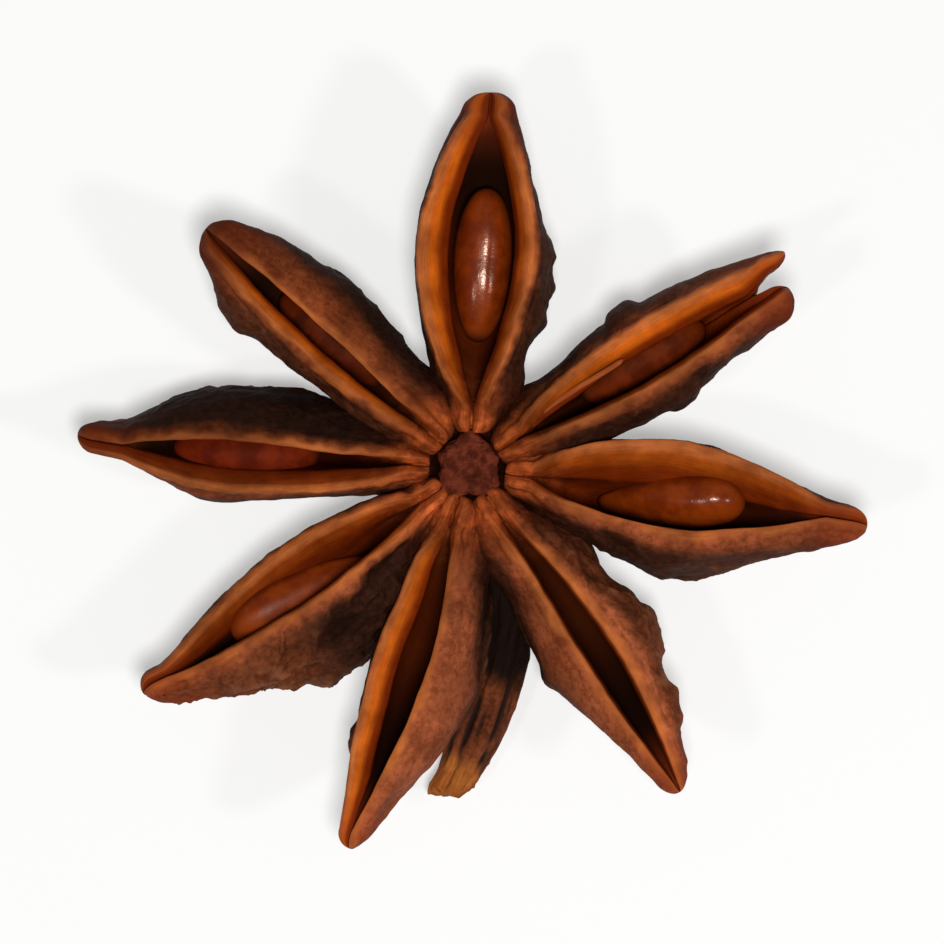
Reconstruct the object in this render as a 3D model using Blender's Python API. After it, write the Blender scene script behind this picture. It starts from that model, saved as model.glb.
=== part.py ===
"""Star anise pod: eight split seed cases round a small column, a bent stalk, and the loose seeds.

Lengths are in millimetres up to the meshes, which are in metres. The pod lies with its slits up.
A seed case is lofted from closed rings, each the outline of a boat that is open at the top: from
the floor of its hollow up one inner wall, over the lip, down the outer wall to the keel, and back.
"""
import math
from dataclasses import dataclass

import bmesh
import bpy
import numpy as np

MM = 0.001

# Heights above the table, in millimetres
LIP_HEIGHT = 6.4          # rims of the slits where they meet the middle
COLUMN_DROP = 0.35        # top of the middle column below those rims
GROOVE_DROP = 1.35        # floor of the ring-shaped groove round the column
FLAT_DEPTH = 0.15         # worn off the keels that carry the pod, so that they rest on flats
TABLE_HALF = 25.0         # half the side of the block that cuts those flats

# Middle of the star
COLUMN_RADIUS = 1.33
CORE_RADIUS = 2.35
CORE_DEPTH = 5.1
CORE_FOOT_RADIUS = 1.5
CORE_SIDES = 16
COLUMN_SIDES = 7
COLUMN_UNEVEN = 0.09      # how far the column's corners leave a true circle, as a share

# What the seed cases share
ROOT_RADIUS = 1.72        # where the rims end, from the star's middle
ROOT_HALF_WIDTH = 0.72
ROOT_DEPTH = 4.3
ROOT_LIP = 0.60
SLIT_HALF_WIDTH = 0.05    # the closed stretches of a slit
SLIT_START = 2.9          # where a slit begins to open
SLIT_DEPTH = 0.35         # below the inner edges of the rims
LIP = 0.82                # width of a rim
RIM_DROP = 0.45           # its edges lie this share of its width below its top
TIP_LIP = 0.55
TIP_DEPTH = 1.05
WALL = 0.78               # thickness of a side wall
KEEL = 1.35               # thickness of the bottom wall
END_ROUNDING = 0.55       # length over which both ends are drawn in
END_SQUEEZE = 0.35        # size of the last ring, as a share
ROOT_SQUEEZE = 0.55       # width of the first ring, as a share
ROOT_FALL = 0.55          # the first ring lies this much lower
TIP_FALL = 0.25           # and the last one this much
DEEPEST = 0.48            # where the keel is lowest, as a share of the length
ROLL_START = 2.0          # the roll grows from nothing here
ROLL_FULL = 7.5           # to all of it here
LIP_FULL = 4.5            # the rims reach their full width here
LIP_FADE = 0.7            # and lose it again from this share of the length
KNOB_SPREAD = 0.28        # how far round the wall a lump reaches, as a share of the half wall

# Form of a wall between the middle of its bottom and its rim, as shares
BULGE_AT = 0.65           # the wall is widest this far along its curve
KEEL_FULLNESS = 0.6       # 0 for a sharp keel, 1 for a flat one
FLOOR_FULLNESS = 0.95
WALL_BULGE = 0.36         # height of the widest place, below the rim
HOLLOW_BULGE = 0.55

# Steps of the loft
STATIONS = 18
FLOOR_STEPS = 4
RIM_STEPS = 2
WALL_STEPS = 5

# Search for the slope of an arm
STEEPEST = 0.35
HALVINGS = 24

# Wedge that forks a tip
FORK_HALF = 0.6           # half its width past the tip
FORK_REACH = 3.0          # its height above the rims

# Stalk
STALK_RADIUS = 1.15
STALK_END_RADIUS = 1.3
STALK_SIDES = 10
STALK_RINGS = 11
STALK_CLEARANCE = 0.12    # its end stays this far above the table
STALK_UNEVEN = 0.06       # how far it leaves a true circle, as a share
STALK_BENDS = ((3.0, -5.0, 1.2), (1.3, -10.6, 1.7))
STALK_END = (-0.85, -14.8)

# Seeds
SEED_RINGS = 10
SEED_SIDES = 12
SEED_GAP = 0.33           # between a seed and the wall round it
SEED_POLE = 0.06          # angle of the first and last rings from the seed's ends
SEED_STEP = 0.05          # heights tried when a seed is seated


@dataclass
class SeedCase:
    """One arm of the star. Left is its anticlockwise side, seen from above."""

    azimuth: float            # direction of the arm from +X, degrees
    length: float             # middle of the star to the tip
    gape: float               # widest gap between the rims
    shift: float = 0.0        # middle of the slit, to the left of the arm's line
    roll: float = 0.0         # degrees that the slit leans to the left
    belly: float = 2.6        # half width of the body below the rims
    depth: float = 6.4        # rims to keel at the deepest place
    widest: float = 0.54      # where the gape is widest, as a share of the length
    taper: float = 2.0        # how full the outer half stays, 1 for a straight taper
    tip: float = 0.62         # half width at the tip
    keel_gap: float = 0.0     # lowest place above the table, 0 where the arm carries the pod
    beak: float = 0.0         # length of the narrow point past the body
    shut: float = 0.0         # length of the slit's closed end
    fork: float = 0.0         # length of a split through the tip
    knobs: tuple = ()         # lumps: distance out, place round the wall, height, reach
    seed: tuple = ()          # length, thickness, height and distance out of its seed


CASES = {
    "a": SeedCase(azimuth=86.3, length=17.6, gape=4.1, shift=0.35, roll=4.0, belly=2.7, depth=6.6,
                  widest=0.58, taper=2.3, tip=0.95, shut=1.1,
                  knobs=((7.7, -0.6, 0.7, 0.7), (10.3, -0.55, 0.55, 0.8)),
                  seed=(7.2, 2.8, 3.4, 9.5)),
    "b": SeedCase(azimuth=31.1, length=17.5, gape=1.9, shift=0.3, roll=2.0, belly=2.45, depth=6.2,
                  taper=2.9, tip=0.95, keel_gap=0.5, fork=1.8,
                  knobs=((10.0, 0.65, 0.55, 0.7), (10.3, -0.55, 0.3, 0.6),
                         (12.9, -0.6, -0.3, 1.1)),
                  seed=(6.6, 2.5, 3.3, 9.5)),
    "c": SeedCase(azimuth=-7.6, length=18.8, gape=3.4, shift=0.2, roll=17.0, belly=2.75, depth=6.7,
                  taper=1.25, tip=0.6,
                  knobs=((9.6, -0.4, 0.8, 1.5), (11.2, 0.6, 0.25, 0.6)),
                  seed=(7.2, 2.7, 3.6, 9.1)),
    "d": SeedCase(azimuth=-56.8, length=18.0, gape=1.3, shift=0.4, roll=1.0, belly=2.55, depth=6.5,
                  taper=1.6, tip=0.55, keel_gap=0.2,
                  knobs=((10.2, 0.6, 0.65, 1.5), (14.3, 0.65, 0.55, 0.8), (5.0, 0.6, 0.6, 0.9),
                         (10.2, -0.6, 0.2, 0.8))),
    "e": SeedCase(azimuth=-107.4, length=18.6, gape=2.0, shift=0.1, roll=-25.0, belly=2.7,
                  depth=6.3, taper=1.3, tip=0.5, keel_gap=0.6,
                  knobs=((13.9, -0.8, 0.45, 0.5), (10.4, 0.5, 0.2, 1.0), (16.0, 0.7, -0.3, 1.6))),
    "f": SeedCase(azimuth=215.0, length=18.5, gape=2.7, shift=-0.3, roll=-31.0, belly=2.7,
                  depth=7.1, taper=1.35, tip=0.7,
                  knobs=((9.8, 0.3, 0.55, 1.4), (15.4, 0.5, -0.2, 1.4), (10.2, -0.65, 0.2, 0.6)),
                  seed=(7.2, 2.6, 3.5, 9.1)),
    "g": SeedCase(azimuth=175.9, length=18.4, gape=1.8, shift=0.4, roll=21.0, belly=2.5,
                  depth=6.4, widest=0.6, taper=2.2, tip=0.65, beak=2.2,
                  knobs=((11.7, 0.75, 0.3, 0.9), (8.5, -0.4, 0.2, 0.9)),
                  seed=(6.8, 2.5, 3.4, 9.2)),
    "h": SeedCase(azimuth=138.0, length=16.6, gape=1.0, shift=0.3, roll=11.0, belly=2.4,
                  depth=6.3, taper=2.6, tip=0.8, keel_gap=0.4,
                  knobs=((13.0, 0.65, 0.65, 1.2),),
                  seed=(6.2, 2.3, 3.2, 8.9)),
}

COLOURS = {
    "pod": (0.165, 0.062, 0.026),
    "seed": (0.150, 0.040, 0.012),
}


def blend(low, high, share):
    return low + (high - low) * share


def ease(value, start, end):
    """Smooth step from 0 at start to 1 at end."""
    share = min(max((value - start) / (end - start), 0.0), 1.0)
    return share * share * (3.0 - 2.0 * share)


def hump(value, start, peak, end, fall_in, fall_out):
    """Rise from 0 at start to 1 at peak and back to 0 at end; higher falls give fuller sides."""
    if value <= peak:
        away = (peak - value) / (peak - start)
        return max(0.0, 1.0 - away ** fall_in)
    away = (value - peak) / (end - peak)
    return max(0.0, 1.0 - away ** fall_out)


def curve(points, share):
    """Cubic curve through four handles, at the given shares of its length."""
    rest = 1.0 - share
    weights = (rest ** 3, 3 * rest ** 2 * share, 3 * rest * share ** 2, share ** 3)
    return sum(np.outer(weight, point) for weight, point in zip(weights, points))


def side_curve(half_width, depth, rim_x, rim_z, keel_share, bulge_height, steps):
    """Wall from the middle of the bottom up to the rim, as wide as half_width where it bulges."""
    low = half_width * keel_share
    rest = 1.0 - BULGE_AT
    reached = 3.0 * rest ** 2 * BULGE_AT * low + BULGE_AT ** 3 * rim_x
    high = (half_width - reached) / (3.0 * rest * BULGE_AT ** 2)
    high_z = rim_z - (depth + rim_z) * bulge_height
    handles = ((0.0, -depth), (low, -depth), (high, high_z), (rim_x, rim_z))
    return curve(handles, np.linspace(0.0, 1.0, steps + 1))


def section(case, out):
    """Sizes of the boat outline at a distance out from the middle."""
    body_end = case.length - case.beak
    slit_end = min(body_end, case.length - case.shut)
    peak = case.length * case.widest
    deepest = case.length * DEEPEST
    opening = hump(out, SLIT_START, peak, slit_end, 1.7, 0.5 * (1.5 + case.taper))
    full = hump(out, ROOT_RADIUS, peak * 0.95, body_end, 1.9, case.taper)
    full_low = ROOT_HALF_WIDTH if out < peak * 0.95 else case.tip
    deep = hump(out, ROOT_RADIUS, deepest, case.length, 2.0, 0.6 + 0.75 * case.taper)
    deep_low = ROOT_DEPTH if out < deepest else TIP_DEPTH
    hollow = hump(out, SLIT_START - 0.4, deepest, slit_end - 0.5, 2.6, 1.9 + 0.4 * case.taper)
    half_gape = SLIT_HALF_WIDTH + 0.5 * case.gape * opening
    lip = blend(ROOT_LIP, LIP, ease(out, ROOT_RADIUS, LIP_FULL))
    lip_end = max(TIP_LIP, case.tip - 0.08)
    lip = blend(lip, lip_end, ease(out, LIP_FADE * case.length, case.length))
    belly = max(blend(full_low, case.belly, full), half_gape + 0.55 * lip)
    depth = blend(deep_low, case.depth, deep)
    hollow_depth = blend(RIM_DROP * lip + SLIT_DEPTH, depth - KEEL, hollow)
    hollow_half = max(blend(SLIT_HALF_WIDTH, belly - WALL, hollow), 0.75 * half_gape)
    return half_gape, lip, belly, depth, hollow_depth, hollow_half


def hollow_wall(case, out, steps):
    """Inner wall of one half, from the middle of the floor up to the rim."""
    half_gape, lip, _, _, hollow_depth, hollow_half = section(case, out)
    wall = side_curve(hollow_half, hollow_depth, half_gape, -RIM_DROP * lip, FLOOR_FULLNESS,
                      HOLLOW_BULGE, steps)
    wall[1:, 0] = np.maximum(wall[1:, 0], SLIT_HALF_WIDTH)
    return wall


def half_outline(case, out, side):
    """Half of the boat outline: hollow floor, inner wall, rim, outer wall, keel."""
    half_gape, lip, belly, depth, _, _ = section(case, out)
    rim_drop = RIM_DROP * lip
    inner = hollow_wall(case, out, FLOOR_STEPS)
    turn = np.linspace(math.pi, 0.0, RIM_STEPS + 2)[1:-1]
    rim_x = half_gape + 0.5 * lip + 0.5 * lip * np.cos(turn)
    rim = np.stack((rim_x, -rim_drop + rim_drop * np.sin(turn)), axis=1)
    outer = side_curve(belly, depth, half_gape + lip, -rim_drop, KEEL_FULLNESS, WALL_BULGE,
                       WALL_STEPS)
    outer = push_knobs(case, out, side, outer)
    line = np.concatenate((inner, rim, outer[::-1]))
    line[:, 0] *= side
    return line


def push_knobs(case, out, side, outer):
    """Push the outer wall out where the case has a lump."""
    place = np.linspace(0.0, 1.0, len(outer)) * side
    along = np.gradient(outer, axis=0)
    away = np.stack((along[:, 1], -along[:, 0]), axis=1)
    away /= np.linalg.norm(away, axis=1)[:, None]
    height = np.zeros(len(outer))
    for knob_out, knob_place, knob_height, reach in case.knobs:
        off_place = (place - knob_place) / KNOB_SPREAD
        height += knob_height * np.exp(-((out - knob_out) / reach) ** 2 - off_place ** 2)
    return outer + away * height[:, None]


def rounding(away):
    """Quarter circle from 0 at an end to 1 where its rounding stops."""
    share = min(away / END_ROUNDING, 1.0)
    return math.sqrt(max(0.0, share * (2.0 - share)))


def slit_shift(case, out):
    """How far the middle of the case lies to the left of the arm's line."""
    return case.shift * hump(out, SLIT_START, 0.5 * case.length, case.length, 2.0, 2.0)


def ring(case, out, pitch):
    """Closed ring of points at a distance out, rolled and set in the star's space."""
    right = half_outline(case, out, 1.0)
    left = half_outline(case, out, -1.0)
    line = np.concatenate((right, left[-2:0:-1]))
    root = rounding(out - ROOT_RADIUS)
    end = rounding(case.length - out)
    middle = np.array((0.0, -0.5 * section(case, out)[3]))
    line = middle + (line - middle) * blend(END_SQUEEZE, 1.0, end)
    line[:, 0] *= blend(ROOT_SQUEEZE, 1.0, root)
    line[:, 1] -= ROOT_FALL * (1.0 - root) + TIP_FALL * (1.0 - end)
    roll = math.radians(case.roll) * ease(out, ROLL_START, ROLL_FULL)
    across = line[:, 0] * math.cos(roll) + line[:, 1] * math.sin(roll)
    up = line[:, 1] * math.cos(roll) - line[:, 0] * math.sin(roll)
    across = across + slit_shift(case, out)
    up = up + LIP_HEIGHT + pitch * (out - ROOT_RADIUS)
    turn = math.radians(case.azimuth)
    x = out * math.cos(turn) - across * math.sin(turn)
    y = out * math.sin(turn) + across * math.cos(turn)
    return np.stack((x, y, up), axis=1)


def case_rings(case, pitch):
    """All rings of a case, closer together at its two ends."""
    turns = np.linspace(0.0, math.pi, STATIONS + 1)
    outs = blend(ROOT_RADIUS, case.length, 0.5 - 0.5 * np.cos(turns))
    return [ring(case, out, pitch) for out in outs]


def settle(case):
    """Slope of the arm that brings its keel to its height above the table."""
    flat_depth = FLAT_DEPTH if case.keel_gap == 0.0 else 0.0
    low, high = -STEEPEST, STEEPEST
    for _ in range(HALVINGS):
        pitch = 0.5 * (low + high)
        lowest = min(points[:, 2].min() for points in case_rings(case, pitch))
        if lowest < case.keel_gap - flat_depth:
            low = pitch
        else:
            high = pitch
    return pitch


def close_round(mesh, row):
    mesh.faces.new(row)


def close_boat(mesh, row):
    """Close a boat outline by strips that run across its wall, one strip for each half."""
    last = len(row) // 2
    for half in (row[:last + 1], row[:1] + row[:last - 1:-1]):
        for i in range(last // 2):
            corners = (half[i], half[i + 1], half[last - i - 1], half[last - i])
            mesh.faces.new(list(dict.fromkeys(corners)))


def loft(name, rings, material, close=close_round):
    """Closed object through a list of rings that have the same number of points."""
    mesh = bmesh.new()
    rows = [[mesh.verts.new(tuple(point)) for point in points] for points in rings]
    for low, high in zip(rows, rows[1:]):
        count = len(low)
        for i in range(count):
            j = (i + 1) % count
            mesh.faces.new((low[i], low[j], high[j], high[i]))
    close(mesh, rows[0])
    close(mesh, rows[-1])
    bmesh.ops.recalc_face_normals(mesh, faces=mesh.faces[:])
    bmesh.ops.triangulate(mesh, faces=mesh.faces[:])
    return make_object(name, mesh, material)


def make_object(name, mesh, material):
    bmesh.ops.scale(mesh, vec=(MM, MM, MM), verts=mesh.verts[:])
    data = bpy.data.meshes.new(name)
    mesh.to_mesh(data)
    mesh.free()
    data.materials.append(material)
    data.shade_smooth()
    data.set_sharp_from_angle(angle=math.radians(50.0))
    item = bpy.data.objects.new(name, data)
    bpy.context.scene.collection.objects.link(item)
    return item


def make_material(name, roughness):
    material = bpy.data.materials.new(name)
    material.use_nodes = True
    shader = material.node_tree.nodes["Principled BSDF"]
    shader.inputs["Base Color"].default_value = (*COLOURS[name], 1.0)
    shader.inputs["Roughness"].default_value = roughness
    shader.inputs["Metallic"].default_value = 0.0
    return material


def round_ring(radii, height):
    """Level ring of points, one for each radius."""
    turns = np.arange(len(radii)) * 2.0 * math.pi / len(radii)
    return np.stack((radii * np.cos(turns), radii * np.sin(turns), np.full(len(radii), height)),
                    axis=1)


def make_core(material):
    """Body in the middle that carries the seed cases, from the groove down to the stalk."""
    top = LIP_HEIGHT - GROOVE_DROP
    foot = LIP_HEIGHT - CORE_DEPTH
    radii = ((CORE_RADIUS * 0.9, top), (CORE_RADIUS, top - 0.6), (CORE_RADIUS, 0.5 * (top + foot)),
             (CORE_FOOT_RADIUS, foot))
    rings = [round_ring(np.full(CORE_SIDES, radius), height) for radius, height in radii]
    return loft("pod", rings, material)


def make_column(material):
    """Uneven many-sided column with a slightly domed top."""
    corners = np.arange(COLUMN_SIDES)
    radii = COLUMN_RADIUS * (1.0 + COLUMN_UNEVEN * np.sin(2.3 * corners + 0.7))
    top = LIP_HEIGHT - COLUMN_DROP
    foot = LIP_HEIGHT - GROOVE_DROP - 0.7
    rings = [round_ring(radii * share, height)
             for share, height in ((0.95, foot), (1.0, top - 0.35), (0.93, top - 0.1), (0.7, top))]
    return loft("column", rings, material)


def stalk_rings():
    """Bent stalk from under the core out between the arms d and e."""
    start = np.array((0.0, 0.0, LIP_HEIGHT - CORE_DEPTH + 0.9))
    handles = (start, *STALK_BENDS, (*STALK_END, STALK_END_RADIUS + STALK_CLEARANCE))
    line = curve(handles, np.linspace(0.0, 1.0, STALK_RINGS))
    along = np.gradient(line, axis=0)
    rings = []
    for i, (middle, ahead) in enumerate(zip(line, along)):
        ahead = ahead / np.linalg.norm(ahead)
        across = np.cross(ahead, (0.0, 0.0, 1.0))
        across /= np.linalg.norm(across)
        up = np.cross(across, ahead)
        share = i / (STALK_RINGS - 1)
        radius = blend(STALK_RADIUS, STALK_END_RADIUS, ease(share, 0.5, 1.0))
        turns = np.arange(STALK_SIDES) * 2.0 * math.pi / STALK_SIDES
        radii = radius * (1.0 + STALK_UNEVEN * np.sin(3.0 * turns + 1.5 * share))
        offsets = np.outer(radii * np.cos(turns), across) + np.outer(radii * np.sin(turns), up)
        rings.append(middle + offsets)
    return rings


def seed_outlines(case):
    """Distance out and outline of each ring of a flattened egg, blunt end outward."""
    length, thickness, height, out = case.seed
    turns = np.arange(SEED_SIDES) * 2.0 * math.pi / SEED_SIDES
    rings = []
    for angle in np.linspace(SEED_POLE, math.pi - SEED_POLE, SEED_RINGS):
        reach = -0.5 * length * math.cos(angle)
        swell = math.sin(angle) ** 0.9 * (1.0 + 0.12 * reach / length)
        across = 0.5 * thickness * swell * np.cos(turns)
        up = 0.5 * height * swell * np.sin(turns)
        rings.append((out + reach, across, up))
    return rings


def seed_fits(case, drop):
    """True where the seed, lowered by drop, keeps its gap to the wall of the hollow."""
    for out, across, up in seed_outlines(case):
        wall = hollow_wall(case, out, 24)
        room = np.interp(up - drop - SEED_GAP, wall[:, 1], wall[:, 0], left=-1.0)
        if np.any(np.abs(across) + SEED_GAP > room):
            return False
    return True


def seat_seed(case):
    """How far below the rims the seed's middle comes to rest."""
    drops = np.arange(case.depth, 1.0, -SEED_STEP)
    return next(drop for drop in drops if seed_fits(case, drop))


def seed_rings(case, pitch):
    """The seed's rings in the star's space, rolled and raised with its case."""
    drop = seat_seed(case)
    roll = math.radians(case.roll)
    turn = math.radians(case.azimuth)
    rings = []
    for out, across, up in seed_outlines(case):
        side = across * math.cos(roll) + (up - drop) * math.sin(roll) + slit_shift(case, out)
        rise = (up - drop) * math.cos(roll) - across * math.sin(roll)
        rise = rise + LIP_HEIGHT + pitch * (out - ROOT_RADIUS)
        x = out * math.cos(turn) - side * math.sin(turn)
        y = out * math.sin(turn) + side * math.cos(turn)
        rings.append(np.stack((x, y, rise), axis=1))
    return rings


def cut_fork(item, case, pitch):
    """Wedge taken out of a tip, so that its two halves stand apart."""
    turn = math.radians(case.azimuth)
    ahead = np.array((math.cos(turn), math.sin(turn), 0.0))
    aside = np.array((-math.sin(turn), math.cos(turn), 0.0))
    top = LIP_HEIGHT + pitch * case.length + FORK_REACH
    apex = ahead * (case.length - case.fork) + aside * 0.5 * case.shift
    flare = ahead * (case.length + 1.0) + aside * case.shift
    rings = []
    for height in (top - 3.0 * FORK_REACH, top):
        lift = np.array((0.0, 0.0, height))
        rings.append(np.array((apex - aside * SLIT_HALF_WIDTH + lift, flare - aside * FORK_HALF + lift,
                               flare + aside * FORK_HALF + lift, apex + aside * SLIT_HALF_WIDTH + lift)))
    wedge = loft("fork_wedge", rings, item.data.materials[0])
    hide_guide(wedge)
    cut = item.modifiers.new("fork", "BOOLEAN")
    cut.operation = "DIFFERENCE"
    cut.object = wedge


def hide_guide(item):
    item.hide_render = True
    item.display_type = "WIRE"


def join_to(body, item):
    hide_guide(item)
    union = body.modifiers.new(item.name, "BOOLEAN")
    union.operation = "UNION"
    union.object = item


def cut_flats(pod):
    """Cut off what would reach below the table, which leaves a flat spot on each carrying keel."""
    corners = TABLE_HALF * np.array(((-1, -1), (1, -1), (1, 1), (-1, 1)))
    rings = [np.column_stack((corners, np.full(4, height))) for height in (-2.0, 0.0)]
    table = loft("table_guide", rings, pod.data.materials[0])
    hide_guide(table)
    cut = pod.modifiers.new("flats", "BOOLEAN")
    cut.operation = "DIFFERENCE"
    cut.object = table


def centre_box(arm_rings):
    """Hang every object on an empty that brings the middle of the pod's box over the origin."""
    points = np.concatenate([ring_points for rings in arm_rings for ring_points in rings])
    middle = 0.5 * (points.min(axis=0) + points.max(axis=0)) * MM
    star = bpy.data.objects.new("star_middle", None)
    star.location = (-middle[0], -middle[1], 0.0)
    for item in list(bpy.context.scene.collection.objects):
        item.parent = star
    bpy.context.scene.collection.objects.link(star)


def main():
    for item in list(bpy.data.objects):
        bpy.data.objects.remove(item)
    pod_material = make_material("pod", 0.6)
    seed_material = make_material("seed", 0.25)
    pod = make_core(pod_material)
    join_to(pod, make_column(pod_material))
    join_to(pod, loft("stalk", stalk_rings(), pod_material))
    arm_rings = []
    for name, case in CASES.items():
        pitch = settle(case)
        rings = case_rings(case, pitch)
        arm = loft("arm_" + name, rings, pod_material, close_boat)
        if case.fork:
            cut_fork(arm, case, pitch)
        join_to(pod, arm)
        if case.seed:
            loft("seed_" + name, seed_rings(case, pitch), seed_material)
        arm_rings.append(rings)
    cut_flats(pod)
    centre_box(arm_rings)


main()
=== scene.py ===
import itertools
import math
from dataclasses import dataclass, replace
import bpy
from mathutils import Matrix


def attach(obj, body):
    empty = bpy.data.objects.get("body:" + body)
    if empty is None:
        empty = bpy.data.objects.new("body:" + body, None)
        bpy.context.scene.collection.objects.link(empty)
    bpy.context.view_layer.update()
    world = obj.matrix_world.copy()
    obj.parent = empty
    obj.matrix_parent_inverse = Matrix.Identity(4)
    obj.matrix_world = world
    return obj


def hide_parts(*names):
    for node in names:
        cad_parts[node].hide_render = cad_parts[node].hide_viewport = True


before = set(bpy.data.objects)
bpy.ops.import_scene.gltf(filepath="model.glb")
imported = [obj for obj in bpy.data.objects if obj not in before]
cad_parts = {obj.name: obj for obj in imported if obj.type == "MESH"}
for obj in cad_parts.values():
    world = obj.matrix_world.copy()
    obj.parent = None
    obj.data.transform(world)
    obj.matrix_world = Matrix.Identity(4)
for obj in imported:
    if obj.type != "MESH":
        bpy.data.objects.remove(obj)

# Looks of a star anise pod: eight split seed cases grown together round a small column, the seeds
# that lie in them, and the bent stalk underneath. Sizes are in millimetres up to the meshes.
from types import SimpleNamespace

import bpy
import numpy as np
from mathutils import Vector

MM = 0.001

# Where the middle of the star lies from the middle of the pod's box
STAR_MIDDLE = (-0.1426, 0.1564)

# Height of the rims above the table, at the roots of the cases
LIP_HEIGHT = 6.4

# The middle column: its radius, and how far its top, the groove round it and its foot lie below
# the rims
COLUMN_RADIUS = 1.45
COLUMN_DROP = 0.35
GROOVE_DROP = 1.3
CORE_DEPTH = 5.1

# Corners of the column's top, anticlockwise: direction in degrees and distance from the middle
COLUMN_CORNERS = ((-142.0, 1.72), (-90.0, 1.22), (-43.0, 1.72), (0.0, 1.36), (20.0, 1.48),
                  (68.0, 1.48), (88.0, 1.95), (107.0, 1.55), (151.0, 1.55), (180.0, 1.33))

# What the seed cases share
ROOT_RADIUS = 1.55            # where their outlines start, from the middle of the star
ROOT_HALF_WIDTH = 0.72
ROOT_DEPTH = 4.3
ROOT_LIP = 0.60               # width of each rim there
SLIT_HALF_WIDTH = 0.05        # of the shut slit
SLIT_START = 2.9
SLIT_DEPTH = 0.35             # of the shut slit, under the rims
LIP = 0.82                    # width of each rim further out
LIP_FULL = 4.5                # distance out where the rims reach it
LIP_FADE = 0.7                # share of the length where they start to change to the tip's
TIP_DEPTH = 1.05
RIM_DROP = 0.45               # how far a rim's outer edge lies below its crest, to its width
WALL = 0.78                   # thickness of the walls
KEEL = 1.35                   # thickness of the wood under the hollow
DEEPEST = 0.48                # share of the length where a case is deepest
END_ROUNDING = 0.75
ROOT_ROUNDING = 0.5
ROLL_START = 2.0              # where a case starts to lean to one side, and leans fully
ROLL_FULL = 7.5

# Where the cases grow together under the rims: distance out and reach
WEB_OUT = 3.4
WEB_REACH = 1.5

# The coats of the seeds, how glossy each is and how much redder than the plain brown, and the coat
# of the seed in each case
COATS = {"glossy": (1.1, 0.0), "satin": (0.5, 0.0), "dull": (0.12, 0.0), "dull_red": (0.12, 0.32)}
SEED_COATS = {"a": "glossy", "b": "dull", "c": "glossy", "f": "satin", "g": "dull_red", "h": "dull"}

# Painted light on the seed of each case, from 0 dark with painted shade to 1 lit
SEED_PAINTED_LIGHT = {"a": 0.9, "b": 0.25, "c": 1.0, "f": 1.0, "g": 0.3, "h": 0.0}

# How far out the highest place of a seed's back lies from its middle, its tilt in degrees, and how
# much thicker its outer end is than its inner one
SEED_CREST = {"a": 0.5, "c": 1.5, "f": 0.2}
SEED_TILT = {"a": 2.0, "b": 6.0, "c": 25.0, "f": 13.0, "g": 8.0}
SEED_TAPER = {"c": 0.32, "f": 0.2, "g": -0.25}

# How far a seed lies from its place in the plain part: out, to the left and up
SEED_NUDGE = {"a": (0.1, -0.2, 0.0), "b": (0.2, -0.1, -0.85), "c": (0.5, 0.3, -0.1),
              "f": (0.9, -0.75, 0.25), "g": (1.3, 0.35, 0.1), "h": (0.0, 0.0, -0.8)}

# Tones of the seed cases: the pattern that goes from the dark to the light one of each
CASE_TONES = {
    "rim": ("fibre", (0.235, 0.053, 0.012), (0.39, 0.107, 0.026)),
    "dull_face": ("fibre", (0.066, 0.0078, 0.0010), (0.122, 0.0168, 0.0024)),
    "bright_face": ("fibre", (0.335, 0.054, 0.003), (0.485, 0.101, 0.0065)),
    "lining": ("fibre", (0.118, 0.0126, 0.0010), (0.198, 0.0240, 0.0018)),
    "root": ("fibre", (0.068, 0.0095, 0.0020), (0.200, 0.0395, 0.0090)),
    "root_valley": ("crust", (0.015, 0.0028, 0.0012), (0.048, 0.0084, 0.0028)),
    "dark_flank": ("crust", (0.102, 0.0175, 0.0034), (0.203, 0.040, 0.009)),
    "pale_flank": ("crust", (0.178, 0.039, 0.013), (0.345, 0.089, 0.034)),
    # The near black wall is partly the skin's own colour and partly painted shade
    "black_wall_and_shade": ("crust", (0.0085, 0.0034, 0.0024), (0.022, 0.0075, 0.0044)),
    "brown_wall": ("crust", (0.085, 0.019, 0.0065), (0.190, 0.050, 0.018)),
    "keel": ("crust", (0.060, 0.019, 0.0085), (0.135, 0.046, 0.021)),
}

# The stalk: handles of its bent line, its radius and that at its torn end
STALK_HANDLES = ((0.0, 0.0, 2.2), (3.7, -5.0, 1.2), (1.35, -11.0, 1.5), (-1.02, -15.42, 1.42))
STALK_RADIUS = 1.16
STALK_END_RADIUS = 0.92
STALK_CUT = 0.56              # slope of the torn end across the stalk
STALK_SHADOW_FADE = (9.6, 11.4)    # way along it where its painted shadow from the star above fades out

# The loose strip of lining: its ends out, across and up from the rims, and half its width and
# thickness
STRIP_OUT = (4.3, 8.8)
STRIP_ACROSS = (0.45, 0.70)
STRIP_UP = (-0.36, 0.08)
STRIP_HALF = (0.13, 0.08)

# How often the outlines are smoothed
SOFTENING = 3

# Steps along a case, and round each half of its outline
STATIONS = 176
FLOOR_STEPS = 32
FACE_STEPS = 18
CREST_STEPS = 9
WALL_STEPS = 62
SEAM_STEPS = 12

# Rings and sides of the other pieces
SEED_GRID = (84, 72)
STALK_GRID = (130, 84)
STRIP_GRID = (60, 24)
COLUMN_GRID = (130, 150)

# Space left free along the edges of a piece's flat map
MAP_EDGE = 0.01

# The view: from straight above
CAMERA_HEIGHT = 400.0
VIEW_WIDTH = 44.0


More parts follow.
